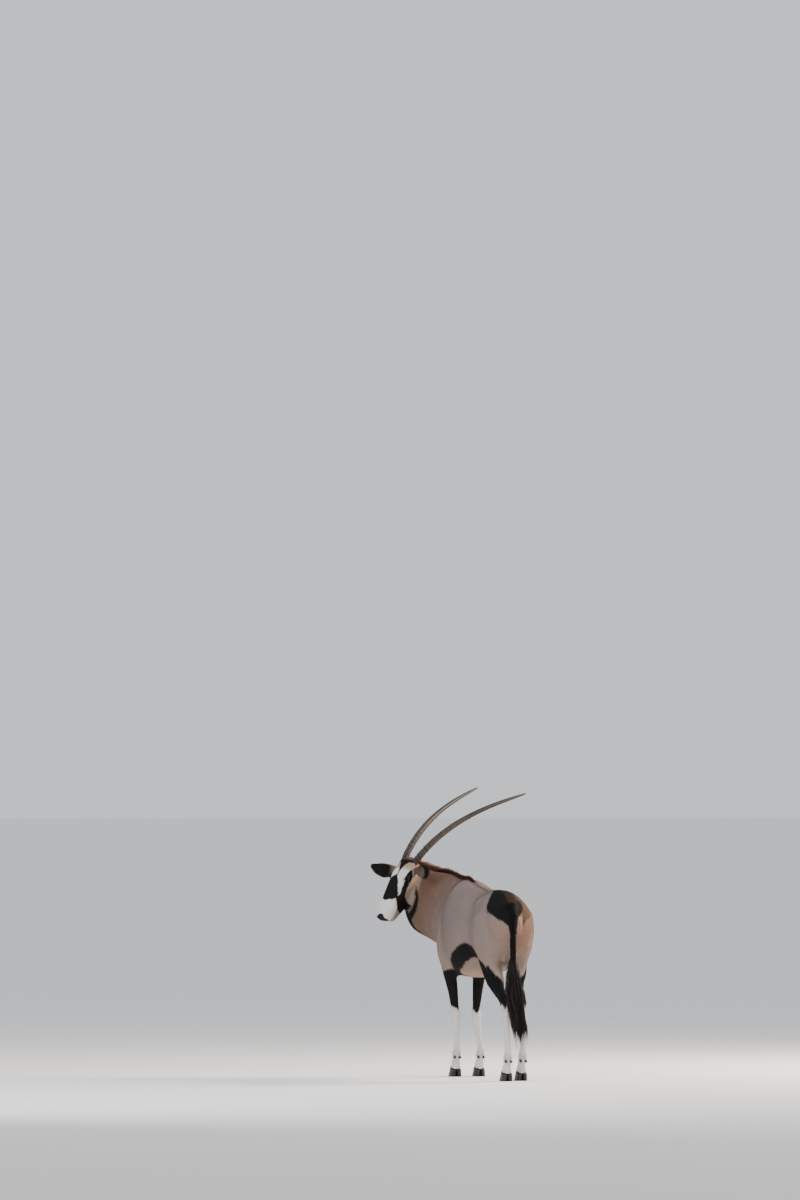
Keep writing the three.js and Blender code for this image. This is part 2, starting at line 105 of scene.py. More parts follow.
def foldedHead(points):  # head places with the right half laid over the left
    place = headPlace(points)
    place[:, 0] = np.abs(place[:, 0])
    return place


def flip(path, side):  # the same path on the left, 1, or on the right, -1
    return [(side * x, y, z) for x, y, z in path]


def squareTo(way, axis):  # the direction without its part along the axis
    return unit(way - axis * (way * axis).sum(-1, keepdims=True))


def hill(value, middle, width):  # a soft bump, 1 at its middle
    return np.exp(-((value - middle) / width) ** 2)


def within(value, low, high):
    return (value > low) & (value < high)


def wobble(points, size, seed):  # smooth noise of about -1 to 1, the same on every run
    octaves, waves, fade = 3, 5, 0.55
    draw = np.random.default_rng(seed)
    total = np.zeros(len(points))
    for octave in range(octaves):
        for _ in range(waves):
            direction = unit(draw.normal(size=3)) * 2 * math.pi / size * 1.9 ** octave
            total += np.sin(points @ direction + draw.uniform(0, 2 * math.pi)) * fade ** octave
    return total / (waves * 0.45 * sum(fade ** octave for octave in range(octaves))) * 0.6


def nearPath(points, path):  # distance to a line of points, and how far along it, 0 to 1
    path = np.asarray(path, float)
    gap = np.full(len(points), 1e9)
    where = np.zeros(len(points))
    for i in range(len(path) - 1):
        step = path[i + 1] - path[i]
        t = np.clip((points - path[i]) @ step / (step @ step), 0, 1)
        reach = np.linalg.norm(points - path[i] - t[:, None] * step, axis=1)
        closer = reach < gap
        gap[closer] = reach[closer]
        where[closer] = (i + t[closer]) / (len(path) - 1)
    return gap, where


def gapTo(points, path):
    return nearPath(points, path)[0]


def rowsAt(table, place, stops=None):  # rows of a table at places between its own
    table = np.asarray(table, float)
    stops = np.arange(len(table)) if stops is None else stops
    return np.stack([np.interp(place, stops, column) for column in table.T], 1)


def smoothLine(line, rounds=3):  # rounds a line off by cutting its corners
    line = np.asarray(line, float)
    for _ in range(rounds):
        quarter = line[:-1] * 0.75 + line[1:] * 0.25
        threeQuarter = line[:-1] * 0.25 + line[1:] * 0.75
        cut = np.stack([quarter, threeQuarter], 1).reshape(-1, line.shape[1])
        line = np.concatenate([line[:1], cut[1:-1], line[-1:]])
    return line


def inShape(u, v, corners):  # depth inside a drawn outline, negative outside it
    corners = np.asarray(corners, float)
    inside = np.zeros(len(u), bool)
    gap = np.full(len(u), 1e9)
    for i in range(len(corners)):
        (u0, v0), (u1, v1) = corners[i], corners[(i + 1) % len(corners)]
        du, dv = u1 - u0, v1 - v0
        t = np.clip(((u - u0) * du + (v - v0) * dv) / (du * du + dv * dv), 0, 1)
        gap = np.minimum(gap, np.hypot(u - u0 - t * du, v - v0 - t * dv))
        crosses = (v0 > v) != (v1 > v)
        inside ^= crosses & (u < u0 + (v - v0) * du / (dv if dv else 1e-12))
    return np.where(inside, gap, -gap)


def curve(value, stops):  # piecewise line through (place, value) stops
    return np.interp(value, [s[0] for s in stops], [s[1] for s in stops])


def tint(red, green, blue):  # a screen colour, 0 to 255, in scene light
    share = np.array((red, green, blue)) / 255
    return np.where(share <= 0.04045, share / 12.92, ((share + 0.055) / 1.055) ** 2.4)


def readAll(items, name, width, kind=float):  # one attribute of all vertices, edges or triangles
    values = np.empty(len(items) * width, kind)
    items.foreach_get(name, values)
    return values.reshape(-1, width)


def meshPoints(mesh):
    return readAll(mesh.vertices, "co", 3)


def meshNormals(mesh):
    return readAll(mesh.vertex_normals, "vector", 3)


def meshEdges(mesh):
    return readAll(mesh.edges, "vertices", 2, int)


def setPoints(mesh, points):
    mesh.vertices.foreach_set("co", np.asarray(points, float).ravel())
    mesh.update()


def setColours(mesh, colours):
    layer = mesh.color_attributes.new("coatTint", "FLOAT_COLOR", "POINT")
    layer.data.foreach_set("color", np.concatenate([colours, np.ones((len(colours), 1))], 1).ravel())


def deselectAll():
    if bpy.context.object and bpy.context.object.mode != "OBJECT":
        bpy.ops.object.mode_set(mode="OBJECT")
    bpy.ops.object.select_all(action="DESELECT")


def makeActive(piece):
    deselectAll()
    piece.select_set(True)
    bpy.context.view_layer.objects.active = piece


def applyModifier(piece, kind, **values):
    modifier = piece.modifiers.new(kind.lower(), kind)
    for key, value in values.items():
        setattr(modifier, key, value)
    makeActive(piece)
    bpy.ops.object.modifier_apply(modifier=modifier.name)


def addPiece(name, data):
    piece = bpy.data.objects.new(name, data)
    bpy.context.scene.collection.objects.link(piece)
    return piece


def cadCopy(nodes, name):  # one new object from merged copies of CAD nodes
    shell = bmesh.new()
    for node in nodes:
        shell.from_mesh(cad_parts[node].data)
    bmesh.ops.remove_doubles(shell, verts=shell.verts, dist=1e-5)
    mesh = bpy.data.meshes.new(name)
    shell.to_mesh(mesh)
    shell.free()
    return addPiece(name, mesh)


def newPiece(name, points, faces):
    mesh = bpy.data.meshes.new(name)
    mesh.from_pydata([tuple(p) for p in points], [], [tuple(int(i) for i in f) for f in faces])
    mesh.update()
    return addPiece(name, mesh)


def outward(piece):
    makeActive(piece)
    bpy.ops.object.mode_set(mode="EDIT")
    bpy.ops.mesh.select_all(action="SELECT")
    bpy.ops.mesh.normals_make_consistent(inside=False)
    bpy.ops.object.mode_set(mode="OBJECT")


def shadeSmooth(piece):
    piece.data.polygons.foreach_set("use_smooth", np.ones(len(piece.data.polygons), bool))
    piece.data.update()


def relax(points, edges, strength, rounds):  # moves each point towards the middle of its neighbours
    count = len(points)
    start, end = edges.T
    degree = np.maximum(np.bincount(edges.ravel(), minlength=count), 1)[:, None]
    strength = np.broadcast_to(np.asarray(strength, float), count)[:, None]
    for _ in range(rounds):
        total = np.stack([np.bincount(start, column[end], count) + np.bincount(end, column[start], count)
                          for column in points.T], 1)
        points = points + strength * (total / degree - points)
    return points


# Markings

coatTints = {
    "body": tint(138, 122, 115),
    "bodyLow": tint(144, 126, 116),
    "neck": tint(114, 87, 73),
    # warm fawn behind, also used as painted sunlight on the right of the rump
    "rear": tint(158, 124, 100),
    "belly": tint(180, 155, 136),
    "white": tint(214, 209, 206),
    "cheek": tint(160, 139, 120),
    "throatSide": tint(146, 132, 122),
    "black": tint(19, 17, 17),
    "mane": tint(70, 47, 36),
    "crest": tint(114, 80, 61),
    "nose": tint(24, 22, 23),
    "folds": tint(196, 158, 140),
}

markings = {
    # edges of the marks on the face: places along it against degrees round it from the brow,
    # or for the cap and the band the other way round
    "browCap": [(0, 0.100), (3, 0.082), (6, 0.062), (15, 0.026), (27, 0.006), (42, -0.004), (90, -0.02)],
    "noseBorder": [(0.086, 2), (0.100, 3), (0.110, 7), (0.121, 14), (0.146, 27), (0.173, 36), (0.197, 46),
                   (0.216, 60), (0.237, 62), (0.251, 50), (0.263, 37), (0.273, 20), (0.281, 0)],
    "noseExtra": [(0.090, 0), (0.100, 10), (0.110, 20), (0.121, 24), (0.146, 18), (0.173, 13), (0.197, 8),
                  (0.216, 0)],
    "stripeFront": [(0.034, 60), (0.046, 55), (0.077, 48), (0.104, 47), (0.129, 54), (0.154, 58),
                    (0.179, 62), (0.205, 70), (0.222, 62)],
    "stripeRear": [(0.034, 60), (0.046, 70), (0.064, 78), (0.086, 84), (0.112, 88), (0.134, 92),
                   (0.152, 97), (0.175, 114), (0.187, 141), (0.200, 160)],
    "bandFront": [(55, 0.243), (70, 0.255), (90, 0.268), (120, 0.280), (147, 0.286), (180, 0.282)],
    "bandRear": [(55, 0.225), (80, 0.214), (115, 0.176), (141, 0.187), (165, 0.205), (180, 0.212)],
    "capFade": (80, 60),
    "bridgeReach": (0.086, 0.283),
    "stripeReach": (0.030, 0.235),
    "bandFrom": 55,
    "lipFade": (0.0045, 0.002),
    "faceWashes": [
        # tint, where it starts and is full along the face, and the same round it
        ("white", (0.03, 0.07), (96, 74)),
        ("white", (0.235, 0.25), (361, 360)),
        ("throatSide", (0.10, 0.16), (106, 130)),
    ],
    "rumpWidth": [(-44, 0.012), (-30, 0.034), (-14, 0.072), (0, 0.103), (17, 0.129), (40, 0.132),
                  (60, 0.118), (69, 0.095), (76, 0.068), (84, 0.042), (96, 0.026)],
    "flank": [(-0.43, 0.585), (-0.288, 0.640), (-0.16, 0.690), (-0.097, 0.722), (-0.009, 0.762),
              (0.071, 0.792), (0.152, 0.820), (0.222, 0.813), (0.275, 0.790), (0.300, 0.770), (0.262, 0.745),
              (0.203, 0.731), (0.117, 0.707), (0.002, 0.668), (-0.097, 0.648), (-0.288, 0.606),
              (-0.43, 0.560)],
    "thigh": [(0.225, 0.806), (0.270, 0.792), (0.330, 0.748), (0.404, 0.707), (0.450, 0.682), (0.500, 0.690),
              (0.560, 0.665), (0.620, 0.600), (0.700, 0.500), (0.700, 0.360), (0.420, 0.360), (0.420, 0.530),
              (0.360, 0.600), (0.200, 0.760)],
    "thighTop": [(-0.05, 0.76), (-0.012, 0.715), (0.011, 0.690), (0.035, 0.660), (0.059, 0.635),
                 (0.083, 0.615), (0.107, 0.590), (0.14, 0.560)],
    "thighPoint": {1: (0.062, 0.430), -1: (0.084, 0.436)},  # place aside and height of the black's lower end
    "jawLine": [(-0.04, -0.080), (0.0, -0.118), (0.03, -0.130), (0.125, -0.146), (0.166, -0.160),
                (0.207, -0.180), (0.236, -0.204), (0.30, -0.24)],
    "chestLine": [(0.15, -0.68, 0.850), (0.05, -0.610, 0.780), (0.0, -0.560, 0.700), (0.0, -0.45, 0.630),
                  (0.0, -0.30, 0.600)],
    "throatStripe": [(0, 0.030), (0.2, 0.040), (0.30, 0.042), (0.37, 0.028), (0.5, 0.017), (1, 0.014)],
    "jawStripe": [(0, 0.003), (0.15, 0.010), (0.4, 0.014), (0.6, 0.020), (0.8, 0.018), (1, 0.012)],
    "nearStripe": [(0.231, -0.709, 1.148), (0.236, -0.702, 1.124), (0.240, -0.689, 1.082),
                   (0.247, -0.685, 1.033), (0.257, -0.699, 0.991), (0.263, -0.735, 0.960),
                   (0.255, -0.745, 0.930), (0.236, -0.735, 0.900), (0.205, -0.705, 0.870)],
    "foreTop": (0.678, 0.635),  # height of the black's upper edge, behind and in front
    "foreBottom": {1: (0.049, 0.403, 0.6), -1: (0.059, 0.376, 2.0)},  # place aside, height, slope
    "shankTops": (0.43, 0.49),  # height of the white, fore and hind
    "rumpCentre": (0.430, 0.900),  # y and z that the angles of the rump patch turn round
    "viewAcross": (0.2672, 0.9636),  # how y and x count in a distance across the camera's view
    "fringe": 0.104,
    "spineHalfWidth": 0.016,
    "folds": [(-0.052, 1.0), (-0.008, 1.0), (-0.004, 0.94), (-0.012, 0.880), (-0.034, 0.880), (-0.048, 0.93)],
    "vent": (0.190, 1.026, 0.026, 0.046),  # place across the view, height, half width, half height
    "soft": 0.004,
    "faceSoft": 0.0025,
    "faceRagged": 0.004,
    "faceAxis": 0.062,  # depth below the brow of the line that the degrees turn round
    "perDegree": 0.0013,  # metres round the face for a degree
}

neckLine = np.array([(0, -0.330, 0.930), (0.006, -0.480, 0.962), (0.044, -0.606, 1.005),
                     (0.120, -0.712, 1.058), (0.196, -0.780, 1.130), (0.234, -0.790, 1.198),
                     (0.262, -0.776, 1.252)])
neckUp = unit([(0, -0.2, 0.98), (0, -0.33, 0.94), (-0.14, -0.4, 0.9), (-0.52, 0.12, 0.84),
               (-0.72, 0.1, 0.68), (-0.84, 0.05, 0.5), (-0.84, -0.12, 0.5)])
neckTop = np.array([0.245, 0.248, 0.240, 0.206, 0.166, 0.132, 0.078])
neckDrop = np.array([0.240, 0.232, 0.214, 0.204, 0.146, 0.118, 0.070])
throatLine = neckLine - neckUp * neckDrop[:, None]
maneLine = np.array([(0.215, -0.785, 1.296), (0.170, -0.785, 1.281), (0.123, -0.783, 1.264),
                     (0.0765, -0.763, 1.243), (0.030, -0.715, 1.232), (0.008, -0.640, 1.215),
                     (0.003, -0.560, 1.197), (0, -0.450, 1.190), (0, -0.345, 1.198), (0, -0.250, 1.180)])
maneUp = unit([(-0.84, -0.12, 0.5), (-0.84, -0.04, 0.5), (-0.84, 0.05, 0.5), (-0.72, 0.1, 0.68),
               (-0.52, 0.05, 0.84), (-0.2, -0.2, 0.9), (0, -0.2, 0.95), (0, -0.1, 1), (0, 0, 1), (0, 0, 1)])
headAxis = onHead([(0, -0.03, -0.07), (0, 0.10, -0.07), (0, 0.25, -0.06), (0, 0.39, -0.06)])


def layOver(colours, colour, share):
    return colours + (np.asarray(colour) - colours) * np.clip(share, 0, 1)[:, None]


def faceMarks(colours, points, onFace):
    black, nose = coatTints["black"], coatTints["nose"]
    folded = foldedHead(points)
    aside, along, up = folded.T
    around = np.degrees(np.arctan2(aside, up + markings["faceAxis"]))
    ragged = markings["faceRagged"] * wobble(points, 0.02, 31)
    soft = markings["faceSoft"]
    face = layOver(colours, coatTints["cheek"], onFace)
    for name, stretch, turn in markings["faceWashes"]:
        face = layOver(face, coatTints[name], smooth(*stretch, along) * smooth(*turn, around) * onFace)
    cap = curve(around, markings["browCap"]) - along
    border = curve(along, markings["noseBorder"])
    border += curve(along, markings["noseExtra"]) * (headPlace(points)[:, 0] < 0)
    bridge = (border - around) * markings["perDegree"]
    stripe = np.minimum(around - curve(along, markings["stripeFront"]),
                        curve(along, markings["stripeRear"]) - around) * markings["perDegree"]
    band = np.minimum(curve(around, markings["bandFront"]) - along,
                      along - curve(around, markings["bandRear"]))
    pad = np.maximum(faceForms["padReach"] - gapTo(folded, longNose(faceForms["pad"])),
                     faceForms["nostrilReach"] - gapTo(folded, longNose(faceForms["nostril"])))
    marks = [
        (black, cap, smooth(*markings["capFade"], around)),
        (black, bridge, within(along, *markings["bridgeReach"])),
        (black, stripe, within(along, *markings["stripeReach"])),
        (black, band, around > markings["bandFrom"]),
        (nose, pad, 1),
    ]
    for colour, depth, share in marks:
        face = layOver(face, colour, smooth(-soft, soft, depth + ragged) * share * onFace)
    lip = gapTo(folded, longNose(faceForms["mouth"][2:]))
    return layOver(face, nose, smooth(*markings["lipFade"], lip) * onFace)


def bodyTint(points, place):  # fawn, browner towards the neck, warmer behind and paler below, the warmth behind being strongest on the right side as painted sunlight
    x, y, z = place.T
    toNeck = smooth(0.02, 0.62, nearPath(place, neckLine)[1] + 0.05 * wobble(points, 0.12, 12))
    washes = {
        "bodyLow": smooth(0.95, 0.72, z),
        "neck": toNeck * smooth(0.62, 0.78, z),
        # warm rear tint at full share on the right side and less on the left: painted sunlight
        "rear": smooth(0.50, 0.66, y) * smooth(0.55, 0.75, z) * mix(0.45, 1, smooth(0.03, -0.06, x)),
        "belly": smooth(0.69, 0.62, z) * smooth(0.17, 0.10, np.abs(x)) * smooth(-0.4, -0.3, y),
    }
    colours = np.tile(coatTints["body"], (len(points), 1))
    for name, share in washes.items():
        colours = layOver(colours, coatTints[name], share)
    return colours * (1 + 0.06 * wobble(points, 0.25, 3) + 0.05 * wobble(points, 0.03, 4))[:, None]


def edge(depth, ragged):
    return smooth(-markings["soft"], markings["soft"], depth + ragged * 0.5)


def legMarks(colours, place, ragged):
    # the white shanks, the black above them and along the flanks, and the pale fringe behind the thighs
    x, y, z = place.T
    aside = np.abs(x)
    fore, hind = markings["shankTops"]
    colours = layOver(colours, coatTints["white"], smooth(0.02, -0.02, z - np.where(y < 0, fore, hind)))
    across, away = markings["viewAcross"]
    rearward = across * y - away * aside  # across the back of a thigh, from its outer to its inner edge
    thighTop = curve(rearward, markings["thighTop"]) - z + 0.4 * ragged
    foreTop = mix(*markings["foreTop"], smooth(-0.34, -0.50, y)) - 0.6 * np.abs(aside - 0.100) - z
    flank = inShape(y, z, markings["flank"])
    thigh = inShape(y, z, markings["thigh"])
    for side in sideNames:
        here = smooth(-0.004, 0.004, side * x)
        middle, low = markings["thighPoint"][side]
        thighEnd = np.where(z > 0.56, thighTop, 0.5 * (z - low) - np.abs(aside - middle))
        middle, low, slope = markings["foreBottom"][side]
        foreEnd = z - np.minimum(low + slope * np.abs(aside - middle), 0.455)
        for depth, share in ((flank, smooth(0.05, 0.08, aside)),
                             (np.minimum(thigh, thighEnd), smooth(0.030, 0.042, aside)),
                             (np.minimum(foreTop, foreEnd), y < -0.2)):
            colours = layOver(colours, coatTints["black"], edge(depth, ragged) * here * share)
    fringe = np.abs(rearward - markings["fringe"]) + ragged * 0.5
    reach = smooth(0.60, 0.64, z) * smooth(0.78, 0.70, z) * (y > 0.42) * mix(0.3, 1, smooth(-0.01, 0.01, x))
    return layOver(colours, coatTints["white"], smooth(0.015, 0.003, fringe) * reach * 0.4)


def rumpMarks(colours, points, place, ragged):
    # the patch, its right half browned as painted sunlight, the line along the back, the bare skin under the
    # tail and the streaks of the far thigh
    x, y, z = place.T
    aside = np.abs(x)
    black = coatTints["black"]
    middle, height = markings["rumpCentre"]
    angle = np.degrees(np.arctan2(y - middle, z - height))
    onRump = (z > 0.88) & (y > 0.1) & (angle >= -44) & (angle <= 98)
    # the right half of the black patch is mixed towards the warm rear tint: painted sunlight on black hair
    paintedSunOnPatch = mix(black, coatTints["rear"] * 0.47, smooth(-0.005, -0.085, x)[:, None])
    colours = layOver(colours, paintedSunOnPatch, edge(curve(angle, markings["rumpWidth"]) - aside, ragged) * onRump)
    spine = np.minimum(markings["spineHalfWidth"] - aside, np.minimum(y + 0.30, z - 1.0))
    colours = layOver(colours, coatTints["mane"], smooth(-0.008, 0.004, spine + ragged * 0.4) * 0.6)
    folds = inShape(x, z, markings["folds"])
    colours = layOver(colours, coatTints["folds"], smooth(-0.006, 0.006, folds) * smooth(0.58, 0.60, y) * 0.8)
    across, away = markings["viewAcross"]
    middle, height, halfWidth, halfHeight = markings["vent"]
    vent = np.hypot((across * y - away * x - middle) / halfWidth, (z - height) / halfHeight)
    colours = layOver(colours, black, smooth(1.20, 0.85, vent) * (y > 0.5))
    streaks = wobble(points * (1, 1, 0.10), 0.014, 71)
    streaks *= smooth(0.02, -0.06, x) * smooth(0.42, 0.56, y) * smooth(0.60, 0.70, z)
    return colours * (1 + 0.16 * streaks)[:, None]


def stripeMark(colours, points, path, widths, ragged):
    gap, at = nearPath(points, path)
    return layOver(colours, coatTints["black"], smooth(0.004, -0.003, gap + ragged - curve(at, widths)))


def paint(points):
    place = bodyPlace(points)
    ragged = 0.012 * wobble(points, 0.05, 7) + 0.006 * wobble(points, 0.015, 8)
    colours = bodyTint(points, place)
    colours = legMarks(colours, place, ragged)
    colours = rumpMarks(colours, points, place, ragged)
    colours = stripeMark(colours, points, stripes[0], markings["throatStripe"], ragged * 0.3)
    crestGap, crestAt = nearPath(place, maneLine)
    crest = mix(coatTints["crest"], coatTints["mane"], smooth(0.0, 0.30, crestAt)[:, None])
    colours = layOver(colours, crest, smooth(0.034, 0.008, crestGap + ragged * 0.4) * mix(0.9, 0.4, crestAt))
    _, along, up = headPlace(points).T
    onFace = smooth(-0.006, 0.006, up - curve(along, markings["jawLine"]))
    onFace = onFace * smooth(-0.045, -0.015, along) * smooth(0.17, 0.15, gapTo(points, headAxis))
    colours = faceMarks(colours, points, onFace)
    for path in stripes[1:]:
        colours = stripeMark(colours, points, path, markings["jawStripe"], ragged * 0.2)
    dock = gapTo(place, tailLine) + 0.5 * ragged
    colours = layOver(colours, coatTints["black"], smooth(0.036, 0.030, dock) * (place[:, 1] > 0.60))
    return np.clip(colours, 0.003, 1)


stripes = []  # paths on the finished skin


def layStripes(mesh):  # down the throat and chest, and along the rear edge of each jaw
    tree = BVHTree.FromPolygons([v.co for v in mesh.vertices], [p.vertices for p in mesh.polygons])

    def onSkin(places):
        return np.array([tree.find_nearest(Vector(place))[0] for place in smoothLine(places, 2)])

    stripes.append(onSkin(onBody(np.concatenate([throatLine[::-1][:4], markings["chestLine"]]))))
    stripes.append(onSkin(onBody(markings["nearStripe"])))
    stripes.append(onSkin(np.concatenate([onHead(flip(faceForms["jaw"][3:], -1)), stripes[0][:1]])))


# Skin

skinShape = {
    "voxel": 0.0088,
    "rounds": 20,
    "valleyRounds": 150,
    "valleyFill": 1.25,
    "valleyPasses": 2,
    "headReach": 0.17,
    "coatDepth": {"trunk": 0.006, "neck": 0.007, "head": 0.0028, "upper": 0.005, "lower": 0.0028,
                  "tail": 0.003},
    "softness": {"trunk": 0.85, "neck": 0.80, "head": 0.045, "upper": 0.30, "lower": 0.040, "tail": 0.05},
}

limbNames = [fore + side for fore in ("foreleg_", "hindleg_") for side in ("left", "right")]
regions = {
    "trunk": ["torso"],
    "neck": ["neck"],
    "head": ["head"],
    "upper": [name + "_upper" for name in limbNames],
    "lower": [name + "_lower" for name in limbNames],
    "tail": ["tail"],
}
regionNames = list(regions)
fleshNodes = [node for nodes in regions.values() for node in nodes]
filledNodes = fleshNodes + ["eye_left", "eye_right"]  # the eyes close their sockets under the skin


def regionTree():  # the CAD flesh as one tree, with the region of each triangle
    points, faces, owner = [], [], []
    for index, nodes in enumerate(regions.values()):
        for node in nodes:
            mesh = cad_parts[node].data
            start = len(points)
            points.extend(v.co.copy() for v in mesh.vertices)
            for polygon in mesh.polygons:
                faces.append([start + v for v in polygon.vertices])
                owner.append(index)
    return BVHTree.FromPolygons(points, faces), np.array(owner)


fleshTree, fleshOwner = regionTree()


def regionOf(points):
    return np.array([fleshOwner[fleshTree.find_nearest(p)[2]] for p in points])


def blendRegions(region, values, edges, rounds):  # one value a point, which changes softly between regions
    values = np.array([values[name] for name in regionNames])[region]
    return relax(values[:, None], edges, 0.6, rounds)


def blunt(points):  # presses the mane's locks down to the neck's own crest
    place = bodyPlace(points)
    gap, at = nearPath(place, neckLine)
    row = at * (len(neckLine) - 1)
    up = unit(rowsAt(neckUp, row))
    top = np.interp(row, np.arange(len(neckTop)), neckTop)
    over = np.maximum(((place - rowsAt(neckLine, row)) * up).sum(1) - (top - 0.012), 0)
    inReach = (at > 0.02) & (at < 0.999) & (gap < 0.36)
    return np.where(inReach[:, None], points - up * (over * 0.8)[:, None], points)


def refine(mesh, chosen):  # cuts the chosen faces in four
    shell = bmesh.new()
    shell.from_mesh(mesh)
    shell.verts.ensure_lookup_table()
    edges = {edge for vertex in np.nonzero(chosen)[0] for edge in shell.verts[int(vertex)].link_edges
             if chosen[edge.verts[0].index] and chosen[edge.verts[1].index]}
    bmesh.ops.subdivide_edges(shell, edges=list(edges), cuts=1, use_grid_fill=True)
    bmesh.ops.triangulate(shell, faces=[face for face in shell.faces if len(face.verts) > 4])
    shell.to_mesh(mesh)
    shell.free()


def swell(points, normals, places, radius, height):
    for centre in onBody(places):
        far = (((points - centre) / radius) ** 2).sum(1)
        points = points + normals * (height * np.exp(-far))[:, None]
    return points


def snapped(places):  # the same places moved on to the surface of the solids
    return np.array([fleshTree.find_nearest(Vector(place))[0] for place in places])


def groove(points, normals, path, width, depth, onto=onBody):
    gap = gapTo(points, snapped(onto(path)))
    return points - normals * (depth * hill(gap, 0, width))[:, None]


bodyForms = {
    # place, radius (three ways), height
    "swells": [
        ((0.118, 0.262, 1.060), (0.030, 0.045, 0.030), 0.010),   # point of the hip
        ((0.140, 0.560, 0.985), (0.050, 0.050, 0.050), 0.006),   # point of the buttock
        ((0.178, 0.330, 0.830), (0.060, 0.100, 0.110), 0.008),   # thigh
        ((0.045, 0.490, 0.665), (0.045, 0.060, 0.070), 0.022),   # back of the thigh
        ((0.045, 0.525, 0.600), (0.040, 0.050, 0.050), 0.012),
        ((0.150, -0.430, 0.850), (0.050, 0.050, 0.060), 0.008),  # point of the shoulder
        ((0.165, -0.290, 0.760), (0.060, 0.060, 0.060), 0.008),  # elbow muscle
        ((0.150, -0.420, 0.725), (0.045, 0.060, 0.090), 0.015),  # upper arm
        ((0.190, -0.240, 1.000), (0.050, 0.090, 0.090), 0.006),  # shoulder blade
    ],
    "grooves": [
        # path, width, depth
        ([(0.15, 0.20, 0.98), (0.18, 0.20, 0.92), (0.19, 0.22, 0.85)], 0.075, 0.004),
        ([(0.13, 0.52, 0.93), (0.14, 0.54, 0.84), (0.12, 0.53, 0.73), (0.10, 0.54, 0.64)], 0.026, 0.006),
        ([(0.16, 0.40, 0.70), (0.14, 0.45, 0.64), (0.10, 0.50, 0.56)], 0.020, 0.005),
        ([(0.12, 0.27, 0.80), (0.10, 0.30, 0.74), (0.09, 0.33, 0.68)], 0.022, 0.006),
    ],
    "neckCreases": [
        [(0.250, -0.700, 1.110), (0.200, -0.690, 1.040), (0.150, -0.650, 0.960)],
        [(0.215, -0.650, 1.150), (0.170, -0.620, 1.070), (0.120, -0.590, 0.980)],
        [(0.180, -0.610, 1.170), (0.130, -0.560, 1.090), (0.100, -0.520, 1.000)],
    ],
    "creaseSize": (0.020, 0.0028),
    "throat": [(0.252, -0.765, 0.945), (0.220, -0.745, 0.895), (0.175, -0.705, 0.850),
               (0.120, -0.650, 0.810)],
    "throatSize": (0.055, 0.013),
    "vent": [(-0.030, 0.640, 1.030), (-0.032, 0.650, 1.005)],
    "ventSize": (0.012, 0.010),
    "slit": [(-0.024, 0.655, 0.985), (-0.020, 0.656, 0.940), (-0.022, 0.652, 0.890)],
}


def shapeBody(points, normals):
    for place, radius, height in bodyForms["swells"]:
        points = swell(points, normals, [place] + flip([place], -1), radius, height)
    for path, width, depth in bodyForms["grooves"]:
        for side in sideNames:
            points = groove(points, normals, flip(path, side), width, depth)
    for path in bodyForms["neckCreases"]:
        points = groove(points, normals, path, *bodyForms["creaseSize"])
    points = swell(points, normals, bodyForms["throat"], *bodyForms["throatSize"])
    points = groove(points, normals, bodyForms["vent"], *bodyForms["ventSize"])
    gap = gapTo(points, onBody(bodyForms["slit"]))
    lips = 0.007 * hill(gap, 0.014, 0.009) - 0.006 * hill(gap, 0, 0.005)
    return points + normals * lips[:, None]


faceForms = {
    "lidOpening": (0.0168, 0.0088, 0.0072),  # half length, upper and lower half height
    "lidThickness": 0.0018,
    "lidEdge": (1.12, 0.10, 0.0008),  # its reach from the opening's middle, its width and its height
    "upperFold": (1.50, 0.12, 0.0020),
    "lowerFold": (1.42, 0.10, 0.0010),
    "padReach": 0.028,
    "nostrilReach": 0.0105,
    "mouthSize": (0.0032, 0.0055),  # width and depth of a groove
    "tearGrooveSize": (0.0035, 0.0024),
    "philtrumSize": (0.003, 0.0022),
    "jawSize": (0.011, 0.008),
    "cheekSize": (0.014, -0.004),  # a ridge above the jaw's groove
    "cheekShift": (0.004, 0, 0.018),
    "nostrilRim": (0.0095, 0.0035, 0.0026),  # middle, width and height
    "nostrilHole": (0, 0.0050, 0.0105),
    "lipRim": (0.009, 0.006, 0.0016),
    "mouthHeight": -0.089,
    "lidTilt": -24,
    "noseReach": 0.011,
    "nostril": [(0.013, 0.373, -0.064), (0.018, 0.369, -0.053), (0.027, 0.360, -0.046),
                (0.036, 0.346, -0.047)],
    "pad": [(0, 0.372, -0.044), (0.013, 0.372, -0.062), (0, 0.391, -0.086)],
    "mouth": [(0.066, 0.266, -0.096), (0.066, 0.296, -0.091), (0.064, 0.336, -0.089), (0.048, 0.371, -0.089),
              (0.024, 0.391, -0.089), (0, 0.398, -0.089)],
    "tearGroove": [(0.068, 0.108, -0.044), (0.066, 0.122, -0.050), (0.063, 0.136, -0.058)],
    "philtrum": [(0, 0.388, -0.062), (0, 0.394, -0.086)],
    "jaw": [(0.078, -0.010, -0.112), (0.080, 0.030, -0.128), (0.078, 0.080, -0.136), (0.074, 0.125, -0.143),
            (0.068, 0.170, -0.158), (0.055, 0.210, -0.178), (0.020, 0.236, -0.198)],
}


def longNose(places):  # the tip of the nose reaches a little past the solid's
    places = np.array(places, float)
    places[:, 1] += faceForms["noseReach"] * smooth(0.29, 0.37, places[:, 1])
    return places


def ridge(value, key):
    middle, width, height = faceForms[key]
    return height * hill(value, middle, width)


def lidFrame(side):  # ball centre, outward axis, towards the nose corner, upward
    centre = onHead((side * pose["eyePlace"][0], *pose["eyePlace"][1:]))
    outward = unit(headAxes @ np.array((side * 0.86, 0.36, 0.30)))
    tilt = math.radians(faceForms["lidTilt"])
    forward = squareTo(headAxes @ np.array((0, math.cos(tilt), math.sin(tilt))), outward)
    upward = np.cross(outward, forward)
    upward *= np.sign(upward @ headAxes[:, 2])
    return centre, outward, forward, upward


